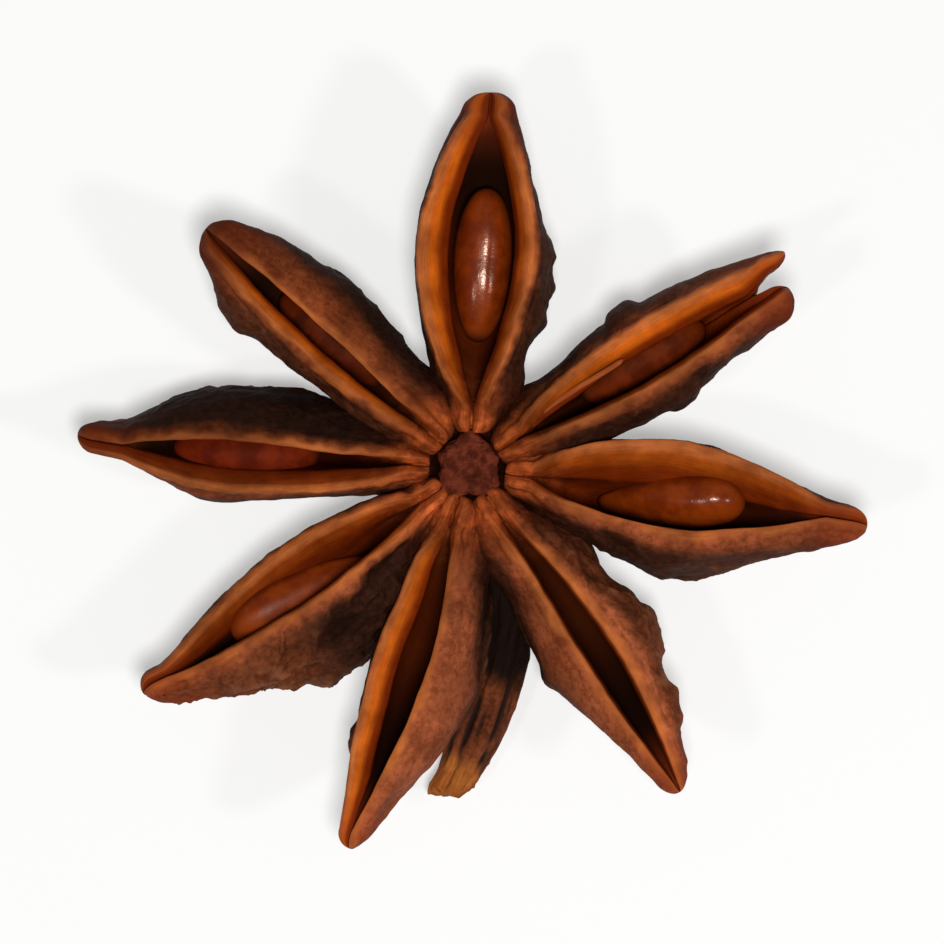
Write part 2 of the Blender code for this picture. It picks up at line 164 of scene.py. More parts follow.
@dataclass
class Side:
    """One side of a seed case, from the slit out to the skin."""

    edge: float               # where the crest lies on the rim, 0 at the slit to 1 at the skin
    reach: float              # how far the split face runs into the slit
    fall: float               # how far its inner edge lies below the rim
    glow: float               # split face: 0 dull tan, 1 bright orange; low also darkens the lining with painted shade
    shoulder: float           # width of the light smooth skin beside the rim
    flank: float              # tone of that skin, 0 dark brown to 1 pale pinkish brown
    wall: float               # tone of the skin below it, 0 near black to 1 light brown; the dark end is partly painted shade
    rough: float = 0.5        # how wrinkled the outline is
    web: float = 0.15         # extra width where the cases grow together
    far_wall: float = 0.0     # how much lighter that skin gets towards the tip
    tan: float = 1.0          # how light the rim is
    spread: float = 0.0       # extra distance of the rim from the slit's middle


@dataclass
class SeedCase:
    """One arm of the star. Left is its anticlockwise side, seen from above."""

    azimuth: float            # direction of the arm from +X, degrees
    length: float             # middle of the star to the tip
    gape: float               # widest gap between the rims
    pitch: float              # rise of the rims along the arm
    left: Side
    right: Side
    shift: float = 0.0        # middle of the slit, to the left of the arm's line
    roll: float = 0.0         # degrees that the slit leans to the left
    belly: float = 2.6        # half width of the body below the rims
    depth: float = 6.4        # rims to keel at the deepest place
    widest: float = 0.54      # where the gape is widest, as a share of the length
    taper: float = 2.0        # how full the outer half stays
    tip: float = 0.62         # half width at the tip
    tip_lip: float = 0.55     # least width of each rim at the tip
    beak: float = 0.0         # length of the narrow point past the body
    shut: float = 0.0         # length of the slit's closed end
    hook: float = 0.0         # how far the tip bends to the left
    root: float = 1.55        # where the arm starts
    dusk: float = 0.0         # how dark the tip is
    shade: tuple = (1.0, 1.0)     # how much painted shade darkens the hollow towards the root and the tip
    root_tan: float = 1.0     # how light the arm is towards the middle
    opens: float = 1.7        # high where the slit opens wide close to the middle
    cup: float = 1.0          # how far the hollow widens under its inner edges
    knobs: tuple = ()         # lumps: distance out, place round the wall, height, reach, squareness


CASES = {
    "a": SeedCase(azimuth=86.75, length=17.6, gape=4.1, pitch=0.0055, shift=0.2, roll=4.0,
                  belly=2.7, depth=6.6, widest=0.58, taper=2.3, tip=0.85, tip_lip=1.1, shut=1.1,
                  left=Side(0.80, 0.72, 1.5, 1.0, 0.10, 0.35, 0.03, 0.2, 0.2, 0.0, 1.15),
                  right=Side(0.50, 0.52, 1.4, 0.6, 0.15, 0.55, 0.22, 0.6, 0.75, 0.0, 1.25),
                  root=1.68, dusk=0.25, shade=(0.42, 0.8), root_tan=1.05,
                  knobs=((8.9, -0.6, 0.88, 2.3, 6), (6.6, -0.6, 0.35, 1.0, 2),
                         (14.5, -0.8, -0.25, 1.8, 2))),
    "b": SeedCase(azimuth=31.1, length=17.5, gape=1.9, pitch=0.0453, shift=0.1, roll=2.0,
                  belly=2.45, depth=6.2, taper=2.9, tip=0.95,
                  left=Side(0.72, 0.62, 1.0, 0.9, 0.25, 0.30, 0.25, 0.3, 0.4, 0.2, 1.3),
                  right=Side(0.20, 0.15, 0.7, 0.5, 0.50, 0.50, 0.10, 0.5, 0.3, 0.1, 0.85),
                  root=1.5, shade=(0.8, 0.15), root_tan=0.72, cup=0.1,
                  knobs=((9.9, 0.65, 0.52, 0.8, 6), (10.3, -0.55, 0.35, 0.8, 4),
                         (12.9, -0.6, -0.35, 1.1, 2), (5.6, 0.6, -0.22, 1.4, 2))),
    "c": SeedCase(azimuth=-7.6, length=18.8, gape=3.4, pitch=-0.0098, shift=0.2, roll=17.0,
                  belly=2.8, depth=6.7, taper=1.25, tip=0.6, shut=2.0,
                  left=Side(0.90, 0.95, 1.6, 0.50, 0.08, 0.40, 0.20, 0.3, 0.2, 0.0, 0.9),
                  right=Side(0.12, 0.08, 0.5, 0.7, 0.85, 0.60, 0.14, 0.6, 0.1, 0.2, 1.0),
                  root=1.70, shade=(0.05, 0.55), root_tan=1.0, cup=0.15, opens=2.2,
                  knobs=((11.4, -0.38, 0.86, 2.5, 3), (6.0, -0.5, -0.2, 1.5, 2),
                         (11.2, 0.6, 0.25, 0.6, 2))),
    "d": SeedCase(azimuth=-56.8, length=18.0, gape=1.3, pitch=0.0444, shift=0.4, roll=1.0,
                  belly=2.55, depth=6.5, widest=0.62, taper=1.42, tip=0.55, shut=0.5,
                  left=Side(0.15, 0.12, 0.8, 0.2, 0.70, 1.0, 0.62, 0.9, 0.2, 0.35, 1.3),
                  right=Side(0.15, 0.12, 0.8, 0.1, 2.00, 0.65, 0.20, 0.35, 0.7, 0.35, 1.02),
                  root=1.3, shade=(1.0, 1.0), root_tan=0.95,
                  knobs=((10.3, 0.6, 0.6, 1.9, 6), (14.5, 0.65, 0.24, 0.9, 4),
                         (5.7, 0.6, 0.6, 1.1, 2), (10.3, -0.6, 0.3, 0.6, 2),
                         (14.6, -0.6, -0.42, 2.2, 2))),
    "e": SeedCase(azimuth=-108.3, length=18.6, gape=2.0, pitch=-0.0051, shift=0.1, roll=-25.0,
                  belly=2.7, depth=6.3, taper=1.12, tip=0.5, shut=0.8,
                  left=Side(0.10, 0.15, 0.7, 0.4, 3.60, 0.90, 0.04, 0.35, 0.6, 0.0, 1.1),
                  right=Side(0.80, 0.28, 1.0, 1.0, 0.12, 0.40, 0.20, 0.3, 0.2, 0.0, 1.1),
                  root=1.3, shade=(0.6, 0.9), root_tan=0.8,
                  knobs=((13.7, -0.8, 0.32, 0.7, 4), (10.4, 0.5, 0.2, 1.0, 2),
                         (16.0, 0.7, -0.4, 1.6, 2), (7.8, 0.62, -0.75, 2.8, 2))),
    "f": SeedCase(azimuth=214.6, length=18.5, gape=2.7, pitch=-0.0491, shift=-0.25, roll=-31.0,
                  belly=2.76, depth=7.1, taper=1.35, tip=0.7, shut=1.4, hook=-0.35,
                  left=Side(0.35, 0.20, 0.5, 0.6, 0.35, 0.70, 0.07, 2.4, 0.2, 0.70, 0.93, -0.3),
                  right=Side(0.30, 0.55, 1.3, 0.22, 0.12, 0.40, 0.10, 0.3, 0.0, 0.0, 0.85, 0.15),
                  root=1.45, shade=(0.0, 0.85), root_tan=1.25, cup=0.2, opens=2.1,
                  knobs=((10.4, 0.3, 0.55, 1.8, 2), (10.2, -0.65, 0.2, 0.6, 2),
                         (4.8, -0.62, -0.55, 2.2, 2), (15.4, 0.5, -0.25, 1.4, 2))),
    "g": SeedCase(azimuth=175.9, length=18.4, gape=1.8, pitch=-0.0747, shift=0.45, roll=21.0,
                  belly=2.55, depth=6.4, widest=0.6, taper=2.2, tip=0.65, beak=2.2, hook=-0.05,
                  left=Side(0.65, 0.35, 0.6, 0.08, 0.90, 0.50, 0.40, 0.25, 0.0, 0.0, 0.75),
                  right=Side(0.15, 0.05, 0.5, 0.2, 0.25, 0.10, 0.00, 0.5, 0.2, 0.0, 0.5),
                  root=1.85, dusk=0.3, shade=(0.3, 0.85), root_tan=1.08, cup=0.3,
                  knobs=((12.3, 0.72, 0.42, 1.5, 2), (8.5, -0.4, 0.2, 0.9, 2),
                         (16.0, 0.5, -0.25, 1.0, 2))),
    "h": SeedCase(azimuth=138.0, length=16.6, gape=1.0, pitch=0.0299, shift=0.3, roll=11.0,
                  belly=2.4, depth=6.3, taper=2.6, tip=0.8,
                  left=Side(0.35, 0.25, 0.7, 0.9, 0.30, 0.35, 0.35, 0.3, 0.2, 0.1, 0.96),
                  right=Side(0.12, 0.05, 0.7, 0.5, 1.50, 0.30, 0.06, 0.3, 0.9, 0.0, 0.87),
                  root=1.6, dusk=0.55, shade=(0.8, 0.9), root_tan=0.85,
                  knobs=((13.1, 0.65, 0.64, 1.4, 3), (7.5, 0.65, -0.3, 1.8, 2),
                         (9.6, -0.65, 0.28, 1.7, 2))),
}

# The forked tip of case b: for each half its length, its way out of line and its extra width
FORK = ((17.8, 0.62, -0.35), (17.1, -0.10, 0.30))
FORK_START = 15.0
FORK_REACH = 1.8

# Height from which an underside is pressed flat against the floor
PRESSED_BELOW = 0.3


# ---- numbers and noise -------------------------------------------------------------------------

def blend(low, high, share):
    return low + (high - low) * share


def ease(value, start, end):
    """Smooth step from 0 at start to 1 at end."""
    share = np.clip((value - start) / (end - start), 0.0, 1.0)
    return share * share * (3.0 - 2.0 * share)


def hump(value, start, peak, end, fall_in, fall_out):
    """Rise from 0 at start to 1 at peak and back to 0 at end; higher falls give fuller sides."""
    rising = np.abs((peak - value) / (peak - start)) ** fall_in
    falling = np.abs((value - peak) / (end - peak)) ** fall_out
    rise = np.where(value < start, 1.0, rising)
    fall = np.where(value > end, 1.0, falling)
    return np.clip(1.0 - np.where(value <= peak, rise, fall), 0.0, 1.0)


class Noise:
    """Smooth noise over points in space, from about -1 to 1."""

    def __init__(self, seed):
        random = np.random.default_rng(seed)
        self.order = random.permutation(256)
        slopes = random.normal(size=(256, 3))
        self.slopes = slopes / np.linalg.norm(slopes, axis=1)[:, None]

    def at(self, points, size):
        place = points / size
        cell = np.floor(place).astype(int)
        part = place - cell
        fade = part ** 3 * (part * (part * 6.0 - 15.0) + 10.0)
        total = np.zeros(points.shape[:-1])
        for corner in itertools.product((0, 1), repeat=3):
            index = (cell + corner) & 255
            key = self.order[index[..., 0]]
            key = self.order[(key + index[..., 1]) & 255]
            key = self.order[(key + index[..., 2]) & 255]
            weight = np.prod(np.where(corner, fade, 1.0 - fade), axis=-1)
            total += weight * np.sum(self.slopes[key] * (part - corner), axis=-1)
        return total * 1.6

    def ridges(self, points, size):
        """Sharp crests with round valleys between them, from 0 to 1."""
        return (1.0 - np.minimum(np.abs(self.at(points, size)) * 1.6, 1.0)) ** 2


NOISE = Noise(11)


# ---- seed cases --------------------------------------------------------------------------------

def sizes(case, out):
    """Sizes of the boat outline at distances out from the middle."""
    body_end = case.length - case.beak
    slit_end = min(body_end, case.length - case.shut)
    peak = case.length * case.widest
    deepest = case.length * DEEPEST
    opening = hump(out, SLIT_START, peak, slit_end, case.opens, 0.5 * (1.5 + case.taper))
    full = hump(out, ROOT_RADIUS, peak * 0.95, body_end, 1.9, case.taper)
    full_low = np.where(out < peak * 0.95, ROOT_HALF_WIDTH, case.tip)
    deep = hump(out, ROOT_RADIUS, deepest, case.length, 2.0, 0.6 + 0.75 * case.taper)
    deep_low = np.where(out < deepest, ROOT_DEPTH, TIP_DEPTH)
    hollow = hump(out, SLIT_START - 0.4, deepest, slit_end - 0.5, 2.6, 1.9 + 0.4 * case.taper)
    half_gape = SLIT_HALF_WIDTH + 0.5 * case.gape * opening
    lip = blend(ROOT_LIP, LIP, ease(out, ROOT_RADIUS, LIP_FULL))
    lip_end = max(case.tip_lip, case.tip - 0.08)
    lip = blend(lip, lip_end, ease(out, LIP_FADE * case.length, case.length))
    belly = np.maximum(blend(full_low, case.belly, full), half_gape + 0.55 * lip)
    depth = blend(deep_low, case.depth, deep)
    hollow_depth = blend(RIM_DROP * lip + SLIT_DEPTH, depth - KEEL, hollow)
    hollow_half = np.maximum(blend(SLIT_HALF_WIDTH, belly - WALL, hollow), 0.75 * half_gape)
    return SimpleNamespace(opening=opening, half_gape=half_gape, lip=lip, belly=belly, depth=depth,
                           hollow_depth=hollow_depth, hollow_half=hollow_half)


def cubic_weights(share):
    """Weights of the four handles of a cubic curve at shares of the way along it."""
    rest = 1.0 - share
    return rest ** 3, 3 * rest ** 2 * share, 3 * rest * share ** 2, share ** 3


def curves(handles, shares):
    """One cubic curve for each station, with four handles given as pairs of arrays."""
    points = 0.0
    for weight, (x, z) in zip(cubic_weights(shares), handles):
        x, z = np.broadcast_arrays(x, z)
        points = points + np.stack((np.outer(x, weight), np.outer(z, weight)), axis=-1)
    return points


def side_curves(half_width, depth, rim_x, rim_z, keel_share, bulge_height, shares):
    """Walls from the middle of the bottom up to the rim, as wide as half_width where they bulge."""
    bulge_at = 0.65
    low = half_width * keel_share
    rest = 1.0 - bulge_at
    reached = 3.0 * rest ** 2 * bulge_at * low + bulge_at ** 3 * rim_x
    high = (half_width - reached) / (3.0 * rest * bulge_at ** 2)
    high_z = rim_z - (depth + rim_z) * bulge_height
    return curves(((0.0 * depth, -depth), (low, -depth), (high, high_z), (rim_x, rim_z)), shares)


def half_outlines(case, out, sign):
    """Half of the boat outline at every station, with the masks of its places."""
    size = sizes(case, out)
    side = case.left if sign > 0 else case.right
    seat = np.stack((out, np.full_like(out, 7.0 * sign), np.full_like(out, case.azimuth)), axis=-1)
    sway = 0.06 * NOISE.at(seat, 2.1) + 0.025 * NOISE.at(seat, 0.7)
    rise = 0.08 * NOISE.at(seat + 31.0, 2.3) + 0.03 * NOISE.at(seat + 31.0, 0.8)
    ends = ease(out, ROOT_RADIUS + 0.3, 4.0) * ease(case.length - out, 0.2, 2.0)
    half_gape = size.half_gape + side.spread * size.opening
    half_gape = half_gape + sway * ends * np.minimum(1.0, size.half_gape / 0.4)
    inner_x = np.maximum(half_gape - side.reach * size.opening ** 0.7, SLIT_HALF_WIDTH)
    shut_fall = RIM_DROP * size.lip
    open_fall = np.minimum(side.fall, size.hollow_depth - 0.05)
    inner_z = -blend(shut_fall, open_fall, size.opening ** 0.5)
    edge = blend(0.5, side.edge, ease(out, 2.5, 5.0))
    crest_x = half_gape + edge * size.lip
    crest_z = rise * ends
    outer_x = half_gape + size.lip
    outer_z = crest_z - RIM_DROP * size.lip

    shares = np.linspace(0.0, 1.0, FLOOR_STEPS)
    floor_half = inner_x + case.cup * np.maximum(size.hollow_half - inner_x, 0.0)
    floor = side_curves(floor_half, size.hollow_depth, inner_x, inner_z, 0.95, 0.55, shares)
    floor[:, 1:, 0] = np.maximum(floor[:, 1:, 0], SLIT_HALF_WIDTH)
    shares = np.linspace(0.0, 1.0, FACE_STEPS + 1)[1:]
    face_x = inner_x[:, None] + np.outer(crest_x - inner_x, shares)
    face_z = crest_z[:, None] + np.outer(inner_z - crest_z, (1.0 - shares) ** 1.6)
    turn = np.linspace(0.0, 0.5 * math.pi, CREST_STEPS + 1)[1:]
    crest_line_x = crest_x[:, None] + np.outer(outer_x - crest_x, np.sin(turn))
    crest_line_z = crest_z[:, None] + np.outer(outer_z - crest_z, 1.0 - np.cos(turn))
    shares = np.linspace(0.0, 1.0, WALL_STEPS + 1)[:-1]
    wall = side_curves(size.belly, size.depth, outer_x, outer_z, 0.6, 0.36, shares)
    wall = push_knobs(case, out, sign, wall, shares)
    line = np.concatenate((floor, np.stack((face_x, face_z), axis=-1),
                           np.stack((crest_line_x, crest_line_z), axis=-1), wall[:, ::-1]), axis=1)
    for _ in range(SOFTENING):
        line[:, 1:-1] = 0.25 * line[:, :-2] + 0.5 * line[:, 1:-1] + 0.25 * line[:, 2:]
    masks = side_masks(case, side, size, out, line, shares)
    line[..., 0] *= sign
    return line, masks


def side_masks(case, side, size, out, line, shares):
    """Way along half an outline from its crest, how much each place is face, hollow or skin, and
    its painted shade.
    """
    steps = np.linalg.norm(np.diff(line, axis=1), axis=-1)
    way = np.concatenate((np.zeros((len(out), 1)), np.cumsum(steps, axis=1)), axis=1)
    way -= way[:, FLOOR_STEPS + FACE_STEPS - 1][:, None]
    inner_edge = -way[:, FLOOR_STEPS - 1][:, None]
    inside = ease(-way, 0.8 * inner_edge, 1.3 * inner_edge + 0.15)
    slit_end = min(case.length - case.beak, case.length - case.shut)
    agape = ease(slit_end - out, -0.2, 1.3) if case.shut else np.ones_like(out)
    # Painted shade in the hollow, at its bottom and over its lining, set per case towards the root
    # and the tip
    shade = blend(case.shade[0], case.shade[1], ease(out, 9.0, 14.0)) * agape
    deep = inside * np.clip((-line[..., 1] - 0.4) / (size.hollow_depth[:, None] - 0.4), 0.0, 1.0)
    deep = deep * shade[:, None]
    painted_hollow_shade = inside * shade[:, None]
    under = np.zeros(way.shape[1])
    under[-WALL_STEPS:] = ease(1.0 - shares[::-1], 0.42, 0.72)
    ones = np.ones_like(way)
    wall_tone = (side.wall + side.far_wall * ease(out, 9.5, 12.0))[:, None]
    shoulder = blend(0.3, 1.0, ease(out, 4.0, 10.0)) * side.shoulder
    shoulder = shoulder + 0.5 * (1.0 - ease(out, 2.5, 4.5))
    return dict(way=way, inside=inside, deep=deep, painted_hollow_shade=painted_hollow_shade,
                face=ease(-way, 0.0, 0.9 * inner_edge + 0.1),
                tones=np.stack((side.glow * ones, side.flank * ones, wall_tone * ones), axis=-1),
                tan=blend(case.root_tan, side.tan, ease(out, 5.0, 10.5))[:, None] * ones,
                shoulder=shoulder[:, None] * ones, rough=side.rough * ones, under=under * ones)


def push_knobs(case, out, sign, wall, shares):
    """Push the outer wall out where the case has a lump."""
    place = shares * sign
    along = np.gradient(wall, axis=1)
    away = np.stack((along[..., 1], -along[..., 0]), axis=-1)
    away /= np.linalg.norm(away, axis=-1)[..., None]
    height = np.zeros(wall.shape[:-1])
    seat = np.stack(np.broadcast_arrays(out[:, None], 3.0 * place[None, :], case.azimuth), axis=-1)
    teeth = 1.0 + 0.35 * NOISE.at(seat, 1.0) + 0.10 * NOISE.at(seat, 0.45)
    web = (case.left if sign > 0 else case.right).web
    webs = ((WEB_OUT, 0.75 * sign, web, WEB_REACH, 2),)
    for knob_out, knob_place, knob_height, reach, squareness in case.knobs + webs:
        far_out = np.abs((out - knob_out) / reach) ** squareness
        far_round = ((place - knob_place) / 0.28) ** 2
        jagged = blend(1.0, teeth, np.clip(0.5 * squareness - 1.0, 0.0, 1.0))
        height += knob_height * jagged * np.exp(-far_out[:, None] - far_round[None, :])
    return wall + away * height[..., None]


def rounding(away, reach):
    """Quarter circle from 0 at an end to 1 where its rounding stops."""
    share = np.minimum(away / reach, 1.0)
    return np.sqrt(np.clip(share * (2.0 - share), 0.0, 1.0))


def set_in_star(case, out, line, sign=0.0, aside=0.0, widen=0.0):
    """Rings of a case, rolled and set in the star's space.

    A case made of one side alone has that side's sign, the way its tip stands aside and its extra
    width there.
    """
    root = rounding(out - case.root, ROOT_ROUNDING)[:, None]
    end = rounding(case.length - out, END_ROUNDING)[:, None]
    squeeze = blend(0.06, 1.0, end)
    parting = ease(out, FORK_START, FORK_START + FORK_REACH)[:, None]
    middle = -0.5 * sizes(case, out).depth[:, None]
    x = line[..., 0] * (1.0 + widen * parting) * blend(0.6, 1.0, root)
    belly = 0.5 * sign * np.abs(line[..., 0]).max(axis=1)[:, None]
    x = belly + (x - belly) * squeeze + aside * parting
    z = middle + (line[..., 1] - middle) * squeeze
    z = z - 0.45 * (1.0 - root) - 0.25 * (1.0 - end)
    roll = math.radians(case.roll) * ease(out, ROLL_START, ROLL_FULL)[:, None]
    across = x * np.cos(roll) + z * np.sin(roll)
    up = z * np.cos(roll) - x * np.sin(roll)
    bend = case.shift * hump(out, SLIT_START, 0.5 * case.length, case.length, 2.0, 2.0)
    bend = bend + case.hook * ease(out, case.length - 3.0, case.length) ** 1.5
    across = across + bend[:, None]
    up = up + LIP_HEIGHT + case.pitch * (out - ROOT_RADIUS)[:, None]
    along = np.broadcast_to(out[:, None], across.shape)
    return np.stack((along, across, up), axis=-1)


def outward(points):
    """Unit normals of a tube of rings."""
    wrapped = np.concatenate((points[:, -1:], points, points[:, :1]), axis=1)
    around = 0.5 * (wrapped[:, 2:] - wrapped[:, :-2])
    normals = np.cross(np.gradient(points, axis=0), around)
    return normals / np.maximum(np.linalg.norm(normals, axis=-1), 1e-9)[..., None]


def turn_to(azimuth, points):
    """Points given as distance out, to the left and up, turned to the arm's direction."""
    turn = math.radians(azimuth)
    x = points[..., 0] * math.cos(turn) - points[..., 1] * math.sin(turn)
    y = points[..., 0] * math.sin(turn) + points[..., 1] * math.cos(turn)
    return np.stack((x + STAR_MIDDLE[0], y + STAR_MIDDLE[1], points[..., 2]), axis=-1)


def wrinkle(points, scale=1.0):
    """Height of the dry skin's wrinkles, about -1 to 1."""
    warp = np.stack([NOISE.at(points + 9.0 * k, 1.6) for k in (1, 2, 3)], axis=-1)
    bent = points * (0.7, 1.0, 1.0) + 0.5 * warp
    coarse = NOISE.ridges(bent, 1.9 * scale)
    middle = NOISE.ridges(bent + 50.0, 0.9 * scale)
    fine = NOISE.ridges(bent + 90.0, 0.4 * scale)
    return 1.1 * coarse + 0.55 * middle + 0.2 * fine - 0.85


def finish_case(case, points, masks):
    """Dry wrinkled skin, soft lumps on the rims and the values the material reads."""
    normals = outward(points)
    out = points[..., 0]
    way, inside, shoulder, rough = [masks[key] for key in ("way", "inside", "shoulder", "rough")]
    seat = points + case.azimuth * 0.37
    lumps = NOISE.at(seat, 2.8)
    crumple = wrinkle(seat)
    ragged = way + 0.33 * NOISE.at(seat, 1.4) + 0.15 * NOISE.at(seat, 0.5)
    along = ease(out, ROOT_RADIUS + 0.8, 6.0) * blend(0.4, 1.0, ease(case.length - out, 0.0, 2.5))
    skin = ease(way, 0.15, 0.9) * along
    low = ease(way - np.maximum(shoulder - 2.0, 0.0), 2.2, 4.5)
    amount = skin * np.maximum(rough, low)
    height = amount * (0.15 * crumple + 0.17 * lumps)
    groove = np.exp(-((way - 0.6) / 0.13) ** 2) * ease(lumps, -0.3, 0.3) * along
    height = height - 0.07 * groove
    soft = 0.025 * NOISE.at(seat, 0.8) + 0.012 * NOISE.at(seat, 0.35)
    near_root = (1.0 - ease(out, 3.5, 7.0)) * ease(out, 1.6, 2.6)
    soft = soft + 0.09 * NOISE.at(seat + 60.0, 0.6) * near_root
    height = height + soft * ease(way, -0.1, 0.4) + 0.04 * inside * NOISE.at(seat, 1.6)
    points = points + normals * height[..., None]
    # Ridge: high on wrinkle crests, low in their valleys and in the groove, where the material
    # paints shade
    ridge = np.clip(0.55 + (0.42 * crumple + 0.2 * lumps) * skin - 0.25 * groove, 0.0, 1.0)
    grain = np.stack((out, np.where(way < 0.0, way - 3.0, way), np.full_like(way, case.azimuth)),
                     axis=-1)
    kept = {key: masks[key] for key in ("face", "deep", "painted_hollow_shade", "tones", "under", "tan")}
    values = dict(kept, flank=ease(ragged, 0.02, 0.45), ridge=ridge, grain=grain,
                  skin=ease(ragged, 0.55 * shoulder, 1.35 * shoulder + 0.55),
                  outer=ease(out, 8.5, 13.5), root=1.0 - ease(out, 2.5, 5.8),
                  finger=2.0 - ease(out, 2.2, 3.8),
                  ripe=ease(out, case.length - 3.6, case.length - 0.8),
                  dusk=case.dusk * ease(out + 0.6 * lumps, case.length - 4.0, case.length - 0.3))
    return points, values


def case_surface(case, outs):
    """Grid of points of a whole case, both sides together."""
    halves = [half_outlines(case, outs, sign) for sign in (1.0, -1.0)]
    cuts = (slice(None), slice(-2, 0, -1))
    line = np.concatenate([half[0][:, cut] for half, cut in zip(halves, cuts)], axis=1)
    masks = {key: np.concatenate([half[1][key][:, cut] for half, cut in zip(halves, cuts)], axis=1)
             for key in halves[0][1]}
    return finish_case(case, set_in_star(case, outs, line), masks)


def forked_surface(case, outs, sign, aside, widen):
    """Grid of points of one side of a case, shut by a flat wall down the slit's middle."""
    line, masks = half_outlines(case, outs, sign)
    shares = np.linspace(0.0, 1.0, SEAM_STEPS + 2)[1:-1]
    rise = line[:, -1:] + (line[:, :1] - line[:, -1:]) * shares[:, None]
    line = np.concatenate((line, rise), axis=1)
    line[..., 0] -= 0.04 * sign * (np.abs(line[..., 0]) < 0.04)
    masks = {key: np.concatenate((mask, np.repeat(mask[:, -1:], SEAM_STEPS, axis=1)), axis=1)
             for key, mask in masks.items()}
    if sign < 0.0:
        line = line[:, ::-1]
        masks = {key: mask[:, ::-1] for key, mask in masks.items()}
    return finish_case(case, set_in_star(case, outs, line, sign, aside, widen), masks)


# ---- meshes ------------------------------------------------------------------------------------

def tube_faces(rows, columns):
    """Corner numbers of the faces between the rings of a tube."""
    i, j = np.meshgrid(np.arange(rows - 1), np.arange(columns), indexing="ij")
    k = (j + 1) % columns
    near, far = i * columns, (i + 1) * columns
    return np.stack((near + j, near + k, far + k, far + j), axis=-1).reshape(-1, 4)


def settle(points):
    """Points of an underside pressed flat just above the floor, as the pod rests on it."""
    up = points[..., 2]
    pressed = PRESSED_BELOW * np.exp(np.minimum(up / PRESSED_BELOW - 1.0, 0.0))
    up = np.where(up < PRESSED_BELOW, pressed, up)
    return np.concatenate((points[..., :2], up[..., None]), axis=-1)


def make_piece(name, points, values, material, nodes):
    """Closed tube of rings as a mesh piece, with its values and a map, riding on the pod."""
    points = settle(points)
    rows, columns = points.shape[:2]
    flat = points.reshape(-1, 3)
    ends = np.stack((points[0].mean(axis=0), points[-1].mean(axis=0)))
    corners = tube_faces(rows, columns)
    ring = np.arange(columns)
    after = (ring + 1) % columns
    first, last = rows * columns, rows * columns + 1
    low_cap = np.stack((np.full(columns, first), after, ring), axis=-1)
    high = (rows - 1) * columns
    high_cap = np.stack((np.full(columns, last), high + ring, high + after), axis=-1)
    faces = corners.tolist() + low_cap.tolist() + high_cap.tolist()
    data = bpy.data.meshes.new(name)
    data.from_pydata(np.concatenate((flat, ends)) * MM, [], faces)
    data.shade_smooth()
    for key, value in values.items():
        value = np.asarray(value, dtype=np.float32)
        wide = value.ndim == 3
        both = np.concatenate((value.reshape(rows * columns, -1), value[0].reshape(columns, -1)[:1],
                               value[-1].reshape(columns, -1)[:1]))
        attribute = data.attributes.new(key, "FLOAT_VECTOR" if wide else "FLOAT", "POINT")
        attribute.data.foreach_set("vector" if wide else "value", both.ravel())
    add_map(data, points)
    data.materials.append(material)
    piece = bpy.data.objects.new(name, data)
    bpy.context.scene.collection.objects.link(piece)
    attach(piece, "root")
    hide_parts(*nodes)


def map_places(*corners):
    """Places on the flat map, the corners of each face one after the other."""
    return np.stack([np.stack(np.broadcast_arrays(u, v), axis=-1) for u, v in corners],
                    axis=-2).reshape(-1, 2)


def add_map(data, points):
    """Flat map of the rings: across the picture round each ring, up it along the piece."""
    rows, columns = points.shape[:2]
    around = np.linalg.norm(np.diff(points, axis=1, append=points[:, :1]), axis=-1).mean(axis=0)
    along = np.linalg.norm(np.diff(points, axis=0), axis=-1).mean(axis=1)
    u, v = [blend(MAP_EDGE, 1.0 - MAP_EDGE, np.cumsum(np.append(0.0, steps)) / steps.sum())
            for steps in (around, along)]
    i, j = np.meshgrid(np.arange(rows - 1), np.arange(columns), indexing="ij")
    quads = map_places((u[j], v[i]), (u[j + 1], v[i]), (u[j + 1], v[i + 1]), (u[j], v[i + 1]))
    left, right = u[:-1], u[1:]
    middle = 0.5 * (left + right)
    low = map_places((middle, 0.0), (right, MAP_EDGE), (left, MAP_EDGE))
    high = map_places((middle, 1.0), (left, 1.0 - MAP_EDGE), (right, 1.0 - MAP_EDGE))
    layer = data.uv_layers.new(name="OFBake")
    layer.uv.foreach_set("vector", np.concatenate((quads, low, high)).astype(np.float32).ravel())


# ---- materials ---------------------------------------------------------------------------------

